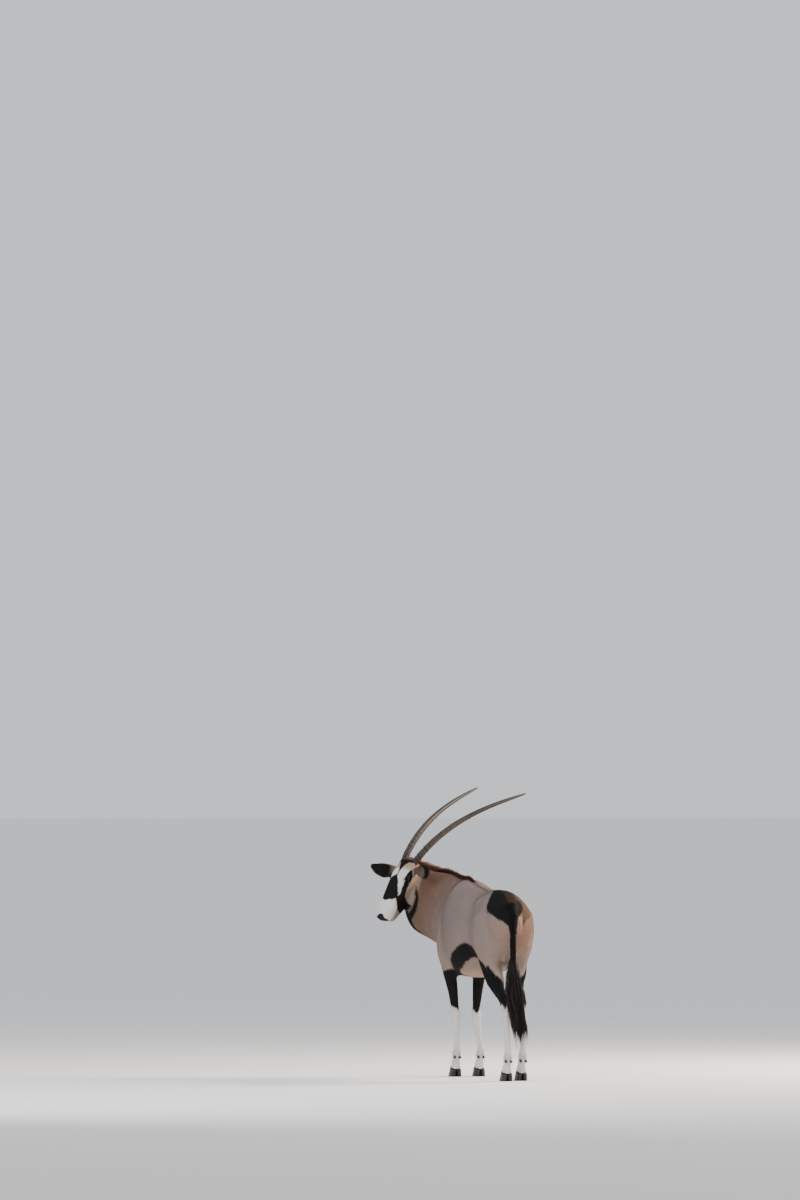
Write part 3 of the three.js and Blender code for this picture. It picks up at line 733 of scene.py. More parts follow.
def lidReach(points, side):  # 1 on the rim of the lids and less inside it, and the height on the ball
    centre, outward, forward, upward = lidFrame(side)
    half, upper, lower = faceForms["lidOpening"]
    ray = unit(points - centre)
    along = ray @ forward * pose["eyeRadius"]
    height = ray @ upward * pose["eyeRadius"] + 0.10 * np.maximum(along, 0)
    tall = np.abs(height) / np.where(height > 0, upper, lower)
    reach = np.sqrt((along / half) ** 2 + 0.55 * tall + 0.45 * tall ** 2)
    return np.where(ray @ outward > 0.15, reach, 9.0), height


def nearestLid(points):
    return np.minimum(lidReach(points, 1)[0], lidReach(points, -1)[0])


def shapeLids(points, side):
    centre = lidFrame(side)[0]
    arm = points - centre
    length = np.linalg.norm(arm, axis=1)
    reach, height = lidReach(points, side)
    lid = (faceForms["lidThickness"] + ridge(reach, "lidEdge")
           - ridge(reach, "upperFold") * (height > 0) - ridge(reach, "lowerFold") * (height <= 0))
    offset = np.where(reach < 1, mix(-0.0055, 0.0010, smooth(0.84, 1.0, reach)), lid)
    share = smooth(2.7, 1.25, reach) * (length < 0.045)
    return centre + arm * mix(1, (pose["eyeRadius"] + offset) / np.maximum(length, 1e-9), share)[:, None]


def shapeFace(points, normals):
    for side in sideNames:
        for key in ("mouth", "tearGroove"):
            points = groove(points, normals, flip(faceForms[key], side), *faceForms[key + "Size"], onHead)
        gap = gapTo(points, onHead(flip(faceForms["nostril"], side)))
        points = points + normals * (ridge(gap, "nostrilRim") - ridge(gap, "nostrilHole"))[:, None]
    points = groove(points, normals, faceForms["philtrum"], *faceForms["philtrumSize"], onHead)
    for side in sideNames:
        points = groove(points, normals, flip(faceForms["jaw"], side), *faceForms["jawSize"], onHead)
        above = flip(np.array(faceForms["jaw"][:-1]) + faceForms["cheekShift"], side)
        points = groove(points, normals, above, *faceForms["cheekSize"], onHead)
    _, along, up = headPlace(points).T
    lips = ridge(np.abs(up - faceForms["mouthHeight"]), "lipRim") * smooth(0.25, 0.30, along)
    return points + normals * lips[:, None]


def fillValleys(points, edges, normals):  # raises the creases where neck, trunk and thighs run together
    place = bodyPlace(points)
    flesh = smooth(0.68, 0.80, place[:, 2]) * smooth(0.10, 0.20, gapTo(points, headAxis))
    flesh *= smooth(0.03, 0.06, gapTo(place, tailLine))
    heavy = relax(points, edges, 0.9 * flesh, skinShape["valleyRounds"])
    gain = ((heavy - points) * normals).sum(1)[:, None]
    spread = relax(gain, edges, 0.9, skinShape["valleyRounds"])
    raised = np.clip(gain - spread, 0, 0.03) * flesh[:, None]
    return points + normals * relax(raised, edges, 0.8, 12) * skinShape["valleyFill"]


def headZone(points):
    chosen = (headPlace(points)[:, 1] > -0.06) & (gapTo(points, headAxis) < skinShape["headReach"])
    return chosen & (bodyPlace(points)[:, 1] < -0.30) & (regionOf(points) == regionNames.index("head"))


def detailZone(points):  # round the eyes and on the muzzle
    folded = foldedHead(points)
    muzzle = (folded[:, 1] > 0.250) & (gapTo(points, headAxis) < 0.12) & (bodyPlace(points)[:, 1] < -0.30)
    return (np.linalg.norm(folded - pose["eyePlace"], axis=1) < 0.040) | muzzle


def makeSkin():
    skin = cadCopy(filledNodes, "skin")
    applyModifier(skin, "REMESH", mode="VOXEL", voxel_size=skinShape["voxel"], adaptivity=0)
    keepLargest(skin)
    mesh = skin.data
    points = blunt(meshPoints(mesh))
    edges = meshEdges(mesh)
    region = regionOf(points)
    softness = blendRegions(region, skinShape["softness"], edges, 14)[:, 0]
    points = relax(points, edges, softness, skinShape["rounds"])
    setPoints(mesh, points)
    for _ in range(skinShape["valleyPasses"]):
        points = fillValleys(points, edges, meshNormals(mesh))
        setPoints(mesh, points)
    points = points - meshNormals(mesh) * blendRegions(region, skinShape["coatDepth"], edges, 8)
    setPoints(mesh, points)
    points = shapeBody(points, meshNormals(mesh))
    setPoints(mesh, points)
    print("skin base", len(points), "points")
    for zone in (headZone, detailZone):
        refine(mesh, zone(meshPoints(mesh)))
        points = meshPoints(mesh)
        near = gapTo(points, headAxis) < skinShape["headReach"]
        setPoints(mesh, relax(points, meshEdges(mesh), near * 0.5, 3))
    points = shapeFace(meshPoints(mesh), meshNormals(mesh))
    near = gapTo(points, headAxis) < skinShape["headReach"]
    points[near] = onHead(longNose(headPlace(points[near])))
    for side in sideNames:
        points = shapeLids(points, side)
    setPoints(mesh, points)
    print("skin", len(mesh.vertices), "points")
    return skin


def keepLargest(piece):
    shell = bmesh.new()
    shell.from_mesh(piece.data)
    left = set(shell.verts)
    groups = []
    while left:
        group = [left.pop()]
        for vertex in group:
            for link in vertex.link_edges:
                there = link.other_vert(vertex)
                if there in left:
                    left.remove(there)
                    group.append(there)
        groups.append(group)
    groups.sort(key=len)
    loose = [vertex for group in groups[:-1] for vertex in group]
    bmesh.ops.delete(shell, geom=loose, context="VERTS")
    shell.to_mesh(piece.data)
    shell.free()


# Ears

def makeEars():
    ears = cadCopy(["ear_left", "ear_right"], "ears")
    applyModifier(ears, "SUBSURF", levels=2, render_levels=2)
    return ears


earPoses = {
    1: {"base": (0.060, 0.012, -0.068), "axis": (0.875, 0.12, 0.46), "facing": (-0.561, 0.65, 0.515)},
    -1: {"base": (-0.062, 0.020, -0.080), "axis": (-0.930, 0.19, 0.40), "facing": (0.52, 0.62, 0.58)},
}

earOutline = {  # its middle line and half width at places along it
    "middle": [(-0.015, 0), (0.017, 0.004), (0.057, 0.012), (0.110, 0.018), (0.152, 0.013), (0.180, 0.002)],
    "half": [(-0.015, 0.016), (0.017, 0.023), (0.057, 0.038), (0.110, 0.047), (0.152, 0.037), (0.180, 0.018),
             (0.198, 0.004)],
}

earTints = {"inside": tint(110, 95, 86), "tip": tint(24, 21, 23), "rim": tint(34, 27, 25)}


def earAxes(side):  # across, out of the cup and along the ear, in head places
    axis = unit(earPoses[side]["axis"])
    facing = squareTo(np.array(earPoses[side]["facing"]), axis)
    return np.cross(facing, axis), facing, axis


def earPlace(points, side):  # (across, out of the cup, along the ear)
    across, facing, axis = earAxes(side)
    arm = headPlace(points) - np.array(earPoses[side]["base"])
    return np.stack([arm @ across, arm @ facing, arm @ axis], 1)


def earEdge(place, side):  # how far beyond the ear's edge, negative inside it, and on which edge
    arm = place[:, 0] - side * curve(place[:, 2], earOutline["middle"])
    return np.abs(arm) - curve(place[:, 2], earOutline["half"]), np.sign(arm)


def paintEars(points, normals):
    colours = np.tile(coatTints["neck"] * 1.1, (len(points), 1))
    ragged = 0.006 * wobble(points, 0.02, 91)
    for side in sideNames:
        here = side * headPlace(points)[:, 0] > 0
        place = earPlace(points, side)
        along = place[:, 2] + ragged
        inward = smooth(0.0, 0.35, (normals @ headAxes) @ earAxes(side)[1])
        rim = smooth(-0.009, -0.004, earEdge(place, side)[0]) * smooth(0.06, 0.09, along)
        shade = layOver(colours, coatTints["black"], smooth(0.115, 0.155, along))
        shade = layOver(shade, earTints["inside"], inward)
        shade = layOver(shade, earTints["tip"], inward * smooth(0.052, 0.078, along))
        shade = layOver(shade, earTints["rim"], rim)
        colours = np.where(here[:, None], shade, colours)
    return colours


# Horns

hornForm = {
    "length": 0.990,
    "start": (0.041, -0.010, -0.040),
    "steps": 24,
    "lean": (2.7, 40.6, 37.8),
    "splay": (9.2, 8.5),
    "radius": 0.018,
    "tip": 0.002,
    "taper": 0.42,
    "oval": 0.05,
    "grain": (9, 0.00028),  # ridges along the sheath and their height
    "rings": 27,
    "ringDrift": 0.16,
    "ringShares": (0.75, 1.2),
    "ringCrowding": 0.92,
    "slant": 0.012,
    "ringReach": (0.030, 0.53),
    "ringHeight": (0.0038, 0.0016),
    "ringWidth": (0.0056, 0.0032),
    "around": 28,
    "along": 230,
}

hornTints = {
    "sheath": tint(23, 20, 19),
    # lighter tint on the raised rings: a painted highlight where the rings catch the light
    "ridge": tint(80, 65, 55),
    "base": tint(50, 41, 37),
    "tip": tint(24, 21, 21),
}


def hornLine(side):
    steps = hornForm["steps"]
    low, high, bow = hornForm["lean"]
    points = [np.array(hornForm["start"]) * (side, 1, 1)]
    for i in range(steps):
        t = (i + 0.5) / steps
        lean = math.radians(mix(low, high, t) + bow * t * (1 - t))
        splay = math.radians(mix(*hornForm["splay"], t))
        back = math.cos(splay)
        step = np.array((side * math.sin(splay), -math.cos(lean) * back, -math.sin(lean) * back))
        points.append(points[-1] + step * hornForm["length"] / steps)
    return np.array(points)


def hornCentre(side, share):  # the horn's line at shares of its length, with its corners rounded off
    line = hornLine(side)
    centre = rowsAt(line, share * (len(line) - 1))
    padded = np.concatenate([2 * centre[:1] - centre[4:0:-1], centre, 2 * centre[-1:] - centre[-2:-6:-1]])
    kernel = np.ones(9) / 9
    return np.stack([np.convolve(column, kernel, "valid") for column in padded.T], 1)


def hornRings(side, share, angle):  # height of the rings at each share of the length and angle round it
    low, high = hornForm["ringReach"]
    count = hornForm["rings"]
    draw = np.random.default_rng(17 + side)
    drift = draw.uniform(-hornForm["ringDrift"], hornForm["ringDrift"], count)
    spots = ((np.arange(count) + 0.5 + drift) / count) ** hornForm["ringCrowding"]
    heights = draw.uniform(*hornForm["ringShares"], count)
    at = (share - low) / (high - low)
    slant = hornForm["slant"] * np.cos(angle)
    raised = np.zeros((len(share), len(angle)))
    for spot, tall in zip(spots, heights):
        gap = (at[:, None] - spot - slant[None]) * (high - low) * hornForm["length"]
        raised = np.maximum(raised, tall * hill(gap, 0, np.where(gap < 0, *hornForm["ringWidth"])))
    fade = smooth(0, 0.05, at) * smooth(1.0, 0.80, at)
    raised *= (mix(*hornForm["ringHeight"], np.clip(at, 0, 1)) * fade)[:, None]
    return raised * (0.85 + 0.25 * np.cos(angle))[None]


def makeHorn(side):
    share = np.append(np.linspace(0, 1, hornForm["along"]) ** 0.97, 1.0)
    angle = np.arange(hornForm["around"]) / hornForm["around"] * 2 * math.pi
    centre = hornCentre(side, share)
    ahead = unit(np.gradient(centre, axis=0))
    front = squareTo(unit(np.cross(ahead, (side, 0, 0)) * side), ahead)
    aside = np.cross(ahead, front)
    raised = hornRings(side, share, angle)
    radius = hornForm["radius"] * (1 - share) ** hornForm["taper"]
    radius += hornForm["tip"] * smooth(1.0, 0.985, share)
    ridges, height = hornForm["grain"]
    grain = height * np.sin(angle * ridges + 1.5 * side)[None] * smooth(0.05, 0.2, share)[:, None]
    oval = 1 + hornForm["oval"] * np.cos(2 * angle)
    reach = radius[:, None] * oval[None] + raised - 0.0008 + grain
    reach[-1] = 0.0005
    ring = front[:, None] * np.cos(angle)[None, :, None] + aside[:, None] * np.sin(angle)[None, :, None]
    points = centre[:, None] + ring * reach[:, :, None]
    rows, columns = reach.shape
    faces = []
    for start in range(0, (rows - 1) * columns, columns):
        for j in range(columns):
            k = (j + 1) % columns
            faces.append((start + j, start + k, start + columns + k, start + columns + j))
    faces.append(tuple(range(columns))[::-1])
    faces.append(tuple((rows - 1) * columns + j for j in range(columns)))
    horn = newPiece("horn_" + sideNames[side] + "_horn", onHead(points.reshape(-1, 3)), faces)
    outward(horn)
    # the raised rings get the lighter ridge tint as a painted highlight
    ridge = np.clip(raised / 0.0022, 0, 1).reshape(-1)
    colours = np.tile(hornTints["sheath"], (len(ridge), 1))
    colours = layOver(colours, hornTints["ridge"], ridge * 0.75)
    colours = layOver(colours, hornTints["base"], np.repeat(smooth(0.075, 0.02, share), columns) * 0.8)
    colours = layOver(colours, hornTints["tip"], np.repeat(smooth(0.55, 0.9, share), columns))
    setColours(horn.data, colours)
    shadeSmooth(horn)
    return horn


# Eyes

eyeForm = {
    "ballShare": 0.965,
    "bulge": 0.045,
    "pupil": (0.40, 0.17),  # half length and half height, as shares of the ball
    "ball": tint(66, 54, 48),
    "iris": tint(40, 24, 15),
    "irisRim": tint(20, 12, 9),
    "pupilTint": tint(7, 7, 9),
}

lashForm = {
    "count": 34,
    "length": 0.0105,
    "steps": 4,
    "widths": (0.00075, 0.0007, 0.0006, 0.0004),
    "reach": (-0.9, 0.85),  # along the lid, from its rear to its front corner
    "drift": 0.012,
    "lengths": (0.8, 1.1),
    "cornerLoss": 0.45,
    "fan": (0.45, 0.06),
    "bend": (0.22, -0.10),  # upward and outward
    "tint": tint(20, 17, 16),
}


def makeEye(side):
    centre, axis, forward, upward = lidFrame(side)
    deselectAll()
    bpy.ops.mesh.primitive_uv_sphere_add(segments=64, ring_count=40, radius=1)
    eye = bpy.context.object
    eye.name = "eye_" + sideNames[side] + "_ball"
    points = meshPoints(eye.data)
    across, tall, facing = points.T
    radius = pose["eyeRadius"] * eyeForm["ballShare"] * (1 + eyeForm["bulge"] * smooth(0.80, 0.98, facing))
    setPoints(eye.data, centre + points @ np.stack([forward, upward, axis]) * radius[:, None])
    outward(eye)
    spread = np.hypot(across, tall)
    pupil = np.hypot(across / eyeForm["pupil"][0], tall / eyeForm["pupil"][1])
    colours = np.tile(eyeForm["ball"], (len(points), 1))
    rings = {
        "iris": smooth(0.90, 0.84, spread),
        "irisRim": smooth(0.62, 0.80, spread) * smooth(0.96, 0.88, spread),
        "pupilTint": smooth(1.1, 0.9, pupil),
    }
    for name, share in rings.items():
        colours = layOver(colours, eyeForm[name], share * (facing > 0))
    setColours(eye.data, colours)
    shadeSmooth(eye)
    return eye


def makeLashes(side):  # along the upper lid, longest in the middle
    centre, axis, forward, upward = lidFrame(side)
    half, upper, _ = faceForms["lidOpening"]
    draw = np.random.default_rng(211 + side)
    count, steps = lashForm["count"], lashForm["steps"]
    at = np.linspace(*lashForm["reach"], count) + draw.normal(0, lashForm["drift"], count)
    rim = (1 - at ** 2) * upper * 1.02
    spot = unit(axis + (at * half / pose["eyeRadius"])[:, None] * forward
                + (rim / pose["eyeRadius"])[:, None] * upward)
    root = centre + spot * (pose["eyeRadius"] + 0.0016)
    long = lashForm["length"] * (1 - lashForm["cornerLoss"] * at ** 2)
    long *= draw.uniform(*lashForm["lengths"], count)
    fan, loose = lashForm["fan"]
    way = unit(spot + upward * 0.10 + forward * (at * fan + draw.normal(0, loose, count))[:, None])
    rise, out = lashForm["bend"]
    bend = upward * rise + axis * out
    line = np.stack([root + way * (long * t)[:, None] + bend * (long * t * t)[:, None]
                     for t in np.arange(steps + 1) / steps], 1)
    width = np.tile(lashForm["widths"], (count, 1))
    spots = np.stack([at * 0.4 + 0.5, np.full(count, 0.3 + 0.2 * side)], 1)
    return hairMesh("lashes_" + sideNames[side], line, np.tile(upward, (count, 1)), width, width * 0.8,
                    np.tile(lashForm["tint"], (count, 1)), np.ones(steps + 1), spots)


# Hooves

hoofForm = {"bevel": 0.003, "bevelAngle": 50, "dewclawShare": 0.80, "dewclawInward": 0.005}


def makeHoof(limb, part, side):
    node = f"{limb}_{part}_{side}"
    hoof = cadCopy([node], node + "_shell")
    if part == "dewclaw":  # smaller and closer to the leg than the solid, half hidden in the hair
        points = meshPoints(hoof.data)
        middle = points.mean(0)
        inward = unit(np.mean(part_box(limb + "_lower"), axis=0) - middle) * (1, 1, 0)
        points = middle + (points - middle) * hoofForm["dewclawShare"] + inward * hoofForm["dewclawInward"]
        setPoints(hoof.data, points)
    applyModifier(hoof, "BEVEL", width=hoofForm["bevel"], segments=2, limit_method="ANGLE",
                  angle_limit=math.radians(hoofForm["bevelAngle"]))
    applyModifier(hoof, "SUBSURF", levels=2, render_levels=2)
    shadeSmooth(hoof)
    return hoof, node


# Coat

def hairMesh(name, line, facing, width, thick, colours, shade, bakePlaces):
    # one closed three-sided blade along each row of the line, its flat side down and its tip free
    count, steps = width.shape
    each = steps * 3 + 1
    rings = line[:, :-1]
    facing = np.broadcast_to(facing[:, None], rings.shape)
    half = np.cross(facing, unit(line[:, 1:] - rings))
    half = unit(half) * (0.5 * width)[:, :, None]
    corners = np.stack([rings - half, rings + half, rings + facing * thick[:, :, None]], 2)
    points = np.concatenate([corners.reshape(count, steps * 3, 3), line[:, -1:]], 1)
    faces = []
    for a in range(0, steps * 3 - 3, 3):
        b = a + 3
        faces += [(a, a + 1, b + 1, b), (a + 1, a + 2, b + 2, b + 1), (a + 2, a, b, b + 2)]
    last = steps * 3 - 3
    tip = last + 3
    faces += [(0, 2, 1), (last, last + 1, tip), (last + 1, last + 2, tip), (last + 2, last, tip)]
    corner = np.array([v for face in faces for v in face])
    corner = (corner + np.arange(count)[:, None] * each).ravel()
    sizes = np.tile([len(face) for face in faces], count)
    mesh = bpy.data.meshes.new(name)
    mesh.vertices.add(count * each)
    mesh.vertices.foreach_set("co", points.ravel())
    mesh.loops.add(len(corner))
    mesh.loops.foreach_set("vertex_index", corner)
    mesh.polygons.add(len(sizes))
    mesh.polygons.foreach_set("loop_start", np.concatenate([[0], np.cumsum(sizes)[:-1]]))
    mesh.polygons.foreach_set("use_smooth", np.ones(len(sizes), bool))
    mesh.update(calc_edges=True)
    # each ring's tint is scaled by shade, darker at the root and lighter at the tip: painted shade among the
    # hairs and painted light on their tips
    shades = np.append(np.repeat(shade[:-1], 3), shade[-1])
    setColours(mesh, np.clip(colours[:, None] * shades[None, :, None], 0, 1).reshape(-1, 3))
    patch = 0.003  # side of a blade's own patch of the OFBake map
    offsets = [(dx * (1 - 0.5 * i / steps), i / steps - 0.5) for i in range(steps) for dx in (-0.5, 0.5, 0)]
    offsets = np.array(offsets + [(0, 0.5)]) * patch
    spots = np.clip(bakePlaces, patch, 1 - patch)[:, None] + offsets
    layer = mesh.uv_layers.new(name="OFBake")
    layer.data.foreach_set("uv", spots.reshape(-1, 2)[corner].ravel())
    return addPiece(name, mesh)


limbLines = {
    "foreleg_left": [(0.120, -0.385, 0.88), (0.115, -0.375, 0.70), (0.086, -0.402, 0.51),
                     (0.064, -0.422, 0.362), (0.056, -0.422, 0.172), (0.056, -0.458, 0.058)],
    "foreleg_right": [(-0.120, -0.385, 0.88), (-0.10, -0.375, 0.70), (-0.067, -0.402, 0.51),
                      (-0.062, -0.418, 0.362), (-0.092, -0.418, 0.172), (-0.092, -0.454, 0.058)],
    "hindleg_left": [(0.104, 0.400, 0.88), (0.090, 0.396, 0.692), (0.066, 0.504, 0.545),
                     (0.050, 0.606, 0.446), (0.026, 0.588, 0.190), (0.026, 0.550, 0.058)],
    "hindleg_right": [(-0.104, 0.400, 0.88), (-0.090, 0.396, 0.692), (-0.077, 0.432, 0.545),
                      (-0.074, 0.534, 0.446), (-0.086, 0.516, 0.190), (-0.086, 0.478, 0.058)],
}
tailLine = [(0.004, 0.552, 1.050), (0.008, 0.606, 1.044), (0.013, 0.648, 1.004), (0.019, 0.672, 0.930),
            (0.023, 0.682, 0.820), (0.026, 0.688, 0.700)]
trunkLine = [(0, -0.42, 0.90), (0, 0.0, 0.90), (0, 0.35, 0.92), (0, 0.56, 0.92)]

# path on the body, how far it rules, and what is added to its direction
lieGuides = [
    (trunkLine, 0.20, (0, 0, -0.32)),
    ([(0, 0.57, 1.00), (0, 0.63, 0.88), (0, 0.64, 0.70)], 0.085, (0, 0, 0)),
    (neckLine[::-1], 0.15, (0, 0.1, -0.30)),
    (bodyPlace(onHead([(0, 0.39, -0.06), (0, 0.20, -0.05), (0, -0.02, -0.05)])), 0.11, (0, 0, 0)),
    (tailLine, 0.020, (0, 0, 0)),
] + [(line, 0.075, (0, 0, 0)) for line in limbLines.values()]


lieForm = {
    "floor": 0.02,
    "hang": (0, 0, -0.12),
    "ruffle": 7,  # degrees
    "waves": (0.9, 0.09),  # share of the ruffle, and length of a wave
    "loose": 0.8,
}


def lieOfCoat(points, normals, draw):  # which way the hair lies at each point
    place = bodyPlace(points)
    total = np.zeros((len(points), 3))
    for path, reach, lean in lieGuides:
        path = np.asarray(path, float)
        gap, at = nearPath(place, path)
        way = rowsAt(unit(np.gradient(path, axis=0)), at * (len(path) - 1))
        total += unit(way + np.array(lean)) / ((gap / reach) ** 4 + lieForm["floor"])[:, None]
    flat = squareTo(unit(total) + np.array(lieForm["hang"]), normals)
    share, size = lieForm["waves"]
    turn = share * wobble(points, size, 51) + draw.normal(0, lieForm["loose"], len(points))
    turn = np.radians(lieForm["ruffle"]) * turn
    return flat * np.cos(turn)[:, None] + np.cross(normals, flat) * np.sin(turn)[:, None]


def skinSurface(mesh):
    mesh.calc_loop_triangles()
    corners = readAll(mesh.loop_triangles, "vertices", 3, int)
    points = meshPoints(mesh)
    a, b, c = (points[corners[:, k]] for k in range(3))
    return {"corners": corners, "points": points, "normals": meshNormals(mesh),
            "area": 0.5 * np.linalg.norm(np.cross(b - a, c - a), axis=1), "middle": (a + b + c) / 3}


scatterPlan = {
    "tries": 3,
    "cell": 1.18,  # side of the grid that keeps one root in each cell, in spacings
    "primes": (73856093, 19349663, 83492791),  # for one number from a cell's three
}


def scatter(surface, chosen, spacing, draw):  # roots spread evenly over the chosen triangles
    area = surface["area"] * chosen
    count = int(area.sum() / spacing ** 2 * scatterPlan["tries"])
    pick = np.searchsorted(np.cumsum(area), draw.uniform(0, area.sum(), count))
    pick = np.minimum(pick, len(area) - 1)
    first, second = np.sqrt(draw.uniform(size=count)), draw.uniform(size=count)
    weights = np.stack([1 - first, first * (1 - second), first * second], 1)
    corners = surface["corners"][pick]
    roots = (surface["points"][corners] * weights[:, :, None]).sum(1)
    normals = unit((surface["normals"][corners] * weights[:, :, None]).sum(1))
    cells = np.floor(roots / (spacing * scatterPlan["cell"]) + draw.uniform(0, 1, 3)).astype(np.int64)
    _, keep = np.unique(np.bitwise_xor.reduce(cells * scatterPlan["primes"], axis=1), return_index=True)
    keep.sort()
    return roots[keep], normals[keep]


coatPlan = {  # the lift is the height of a tuft's tip
    "coat_face": {"spacing": 0.0029, "length": 0.0070, "width": 0.0014, "lift": 0.0009},
    "coat_neck": {"spacing": 0.0047, "length": 0.018, "width": 0.0026, "lift": 0.0028},
    "coat_shoulder": {"spacing": 0.0051, "length": 0.016, "width": 0.0027, "lift": 0.0022},
    "coat_barrel": {"spacing": 0.0050, "length": 0.016, "width": 0.0027, "lift": 0.0022},
    "coat_rump": {"spacing": 0.0048, "length": 0.017, "width": 0.0027, "lift": 0.0024},
    "coat_forelegs": {"spacing": 0.0043, "length": 0.0115, "width": 0.0022, "lift": 0.0016},
    "coat_hindlegs": {"spacing": 0.0047, "length": 0.0130, "width": 0.0023, "lift": 0.0018},
    "coat_tail": {"spacing": 0.0040, "length": 0.038, "width": 0.0030, "lift": 0.0050},
}
coatSplit = {"shoulder": -0.10, "rump": 0.26}

tuftForm = {
    "sink": 0.0012,
    "middle": (0.48, 0.75),  # shares of length and lift at the middle ring
    "width": (0.9, 0.62),
    "thickness": (0.42, 0.26),
    # root, middle and tip: painted shade at the root and painted light at the tip
    "shade": np.array((0.90, 1.0, 1.08)),
    "faceLength": [(-0.08, 1.7), (0.02, 1.3), (0.10, 1.0), (0.25, 0.8), (0.38, 0.6)],
    "fetlock": (0.150, 0.020),  # height of the longer hair behind it, and how far it reaches
    "fetlockGain": (1.3, 0.0055),  # added share of length, and added lift
    "bareEye": (0.035, 1.32),
    "bareFace": {"nostril": 0.011, "mouth": 0.004, "pad": 0.024},
    "bareHorn": 0.0185,
    "hoofTop": 0.052,
    "roundness": 0.38,
    "lengths": (0.75, 1.2),  # ranges of the tufts' own shares
    "lifts": (0.5, 1.35),
    "widths": (0.75, 1.2),
    "tints": (0.88, 1.12),
    "jitter": 0.35,
    "belly": 1.5,
    "legs": (0.62, 1.15),  # share of length at the hoof and at the top
}


def coatZones(middle):  # which coat piece each skin triangle belongs to
    names = np.array(regionNames)[regionOf(middle)]
    y = bodyPlace(middle)[:, 1]
    trunk = np.where(y < coatSplit["rump"], "coat_barrel", "coat_rump")
    trunk = np.where(y < coatSplit["shoulder"], "coat_shoulder", trunk)
    zones = np.where(y < 0.05, "coat_forelegs", "coat_hindlegs")
    places = {"trunk": trunk, "neck": "coat_neck", "head": "coat_face", "tail": "coat_tail"}
    for region, zone in places.items():
        zones = np.where(names == region, zone, zones)
    return zones


def bareFace(points):  # where no tuft grows: eyes, nostrils, lips, horn bases, hooves
    folded = foldedHead(points)
    around, reach = tuftForm["bareEye"]
    bare = (np.linalg.norm(folded - pose["eyePlace"], axis=1) < around) & (nearestLid(points) < reach)
    for key, gap in tuftForm["bareFace"].items():
        bare |= gapTo(folded, longNose(faceForms[key])) < gap
    bare |= gapTo(folded, hornLine(1)[:3]) < tuftForm["bareHorn"]
    return bare | (points[:, 2] < tuftForm["hoofTop"])


bakeAxes = {
    "coat_face": [bodyPlace(headAxis)],
    "coat_neck": [neckLine],
    "coat_shoulder": [[(0, -0.62, 0.90), (0, -0.06, 0.90)]],
    "coat_barrel": [[(0, -0.13, 0.90), (0, 0.29, 0.90)]],
    "coat_rump": [[(0, 0.22, 0.90), (0, 0.66, 0.88)]],
    "coat_forelegs": [limbLines["foreleg_left"], limbLines["foreleg_right"]],
    "coat_hindlegs": [limbLines["hindleg_left"], limbLines["hindleg_right"]],
    "coat_tail": [tailLine],
}


def bakeSpots(points, axes):  # where each root lies on a roll-out round its own limb or trunk
    place = bodyPlace(points)
    best = np.full(len(points), 1e9)
    spots = np.zeros((len(points), 2))
    for index, axis in enumerate(axes):
        axis = np.asarray(axis, float)
        gap, at = nearPath(place, axis)
        way = unit(axis[-1] - axis[0])
        side = unit(np.cross(way, (0, 0, 1) if abs(way[2]) < 0.8 else (0, 1, 0)))
        arm = place - rowsAt(axis, at * (len(axis) - 1))
        around = np.arctan2(arm @ side, arm @ np.cross(side, way)) / (2 * math.pi) + 0.5
        closer = gap < best
        best[closer] = gap[closer]
        spots[closer] = np.stack([(index + around) / len(axes), at], 1)[closer]
    return spots * 0.98 + 0.01


def tuftLines(roots, normals, flow, size, lift, form):  # root, middle and tip of each tuft
    along, up = form["middle"]
    return np.stack([roots - normals * form["sink"],
                     roots + flow * (size * along)[:, None] + normals * (lift * up)[:, None],
                     roots + flow * size[:, None] + normals * lift[:, None]], 1)


def tuftSizes(name, roots, size):
    x, _, z = bodyPlace(roots).T
    belly = smooth(0.70, 0.60, z) * smooth(0.16, 0.10, np.abs(x)) * (z > 0.55)
    size = size * mix(1, tuftForm["belly"], belly)
    if name == "coat_face":
        folded = foldedHead(roots)
        size *= curve(folded[:, 1], tuftForm["faceLength"])
        fromEye = smooth(0.032, 0.050, np.linalg.norm(folded - pose["eyePlace"], axis=1))
        size *= mix(0.35, 1, np.maximum(smooth(0.8, 2.8, nearestLid(roots)), fromEye))
    if name.endswith("legs"):
        size *= mix(*tuftForm["legs"], smooth(0.10, 0.62, roots[:, 2]))
    return size


def makeCoat(name, surface, zones, seed):
    plan = coatPlan[name]
    draw = np.random.default_rng(seed)
    roots, normals = scatter(surface, zones == name, plan["spacing"], draw)
    grows = ~bareFace(roots)
    roots, normals = roots[grows], normals[grows]
    count = len(roots)
    flow = lieOfCoat(roots, normals, draw)
    size = tuftSizes(name, roots, plan["length"] * draw.uniform(*tuftForm["lengths"], count))
    lift = plan["lift"] * draw.uniform(*tuftForm["lifts"], count)
    if name.endswith("legs"):  # longer hair behind the fetlocks
        fetlock = hill(roots[:, 2], *tuftForm["fetlock"])
        longer, higher = tuftForm["fetlockGain"]
        size *= 1 + longer * fetlock
        lift += higher * fetlock
    wide = plan["width"] * draw.uniform(*tuftForm["widths"], (count, 1))
    jitter = draw.normal(0, tuftForm["jitter"], (count, 3)) * plan["spacing"]
    colours = paint(roots + jitter) * draw.uniform(*tuftForm["tints"], (count, 1))
    coat = hairMesh(name, tuftLines(roots, normals, flow, size, lift, tuftForm), normals,
                    wide * tuftForm["width"], wide * tuftForm["thickness"], colours, tuftForm["shade"],
                    bakeSpots(roots, bakeAxes[name]))
    aside = np.cross(normals, flow) * tuftForm["roundness"]
    around = unit(np.stack([normals - aside, normals + aside, normals], 1))
    each = np.concatenate([around, around, normals[:, None]], 1).reshape(-1, 3)
    coat.data.normals_split_custom_set_from_vertices(each)
    return coat


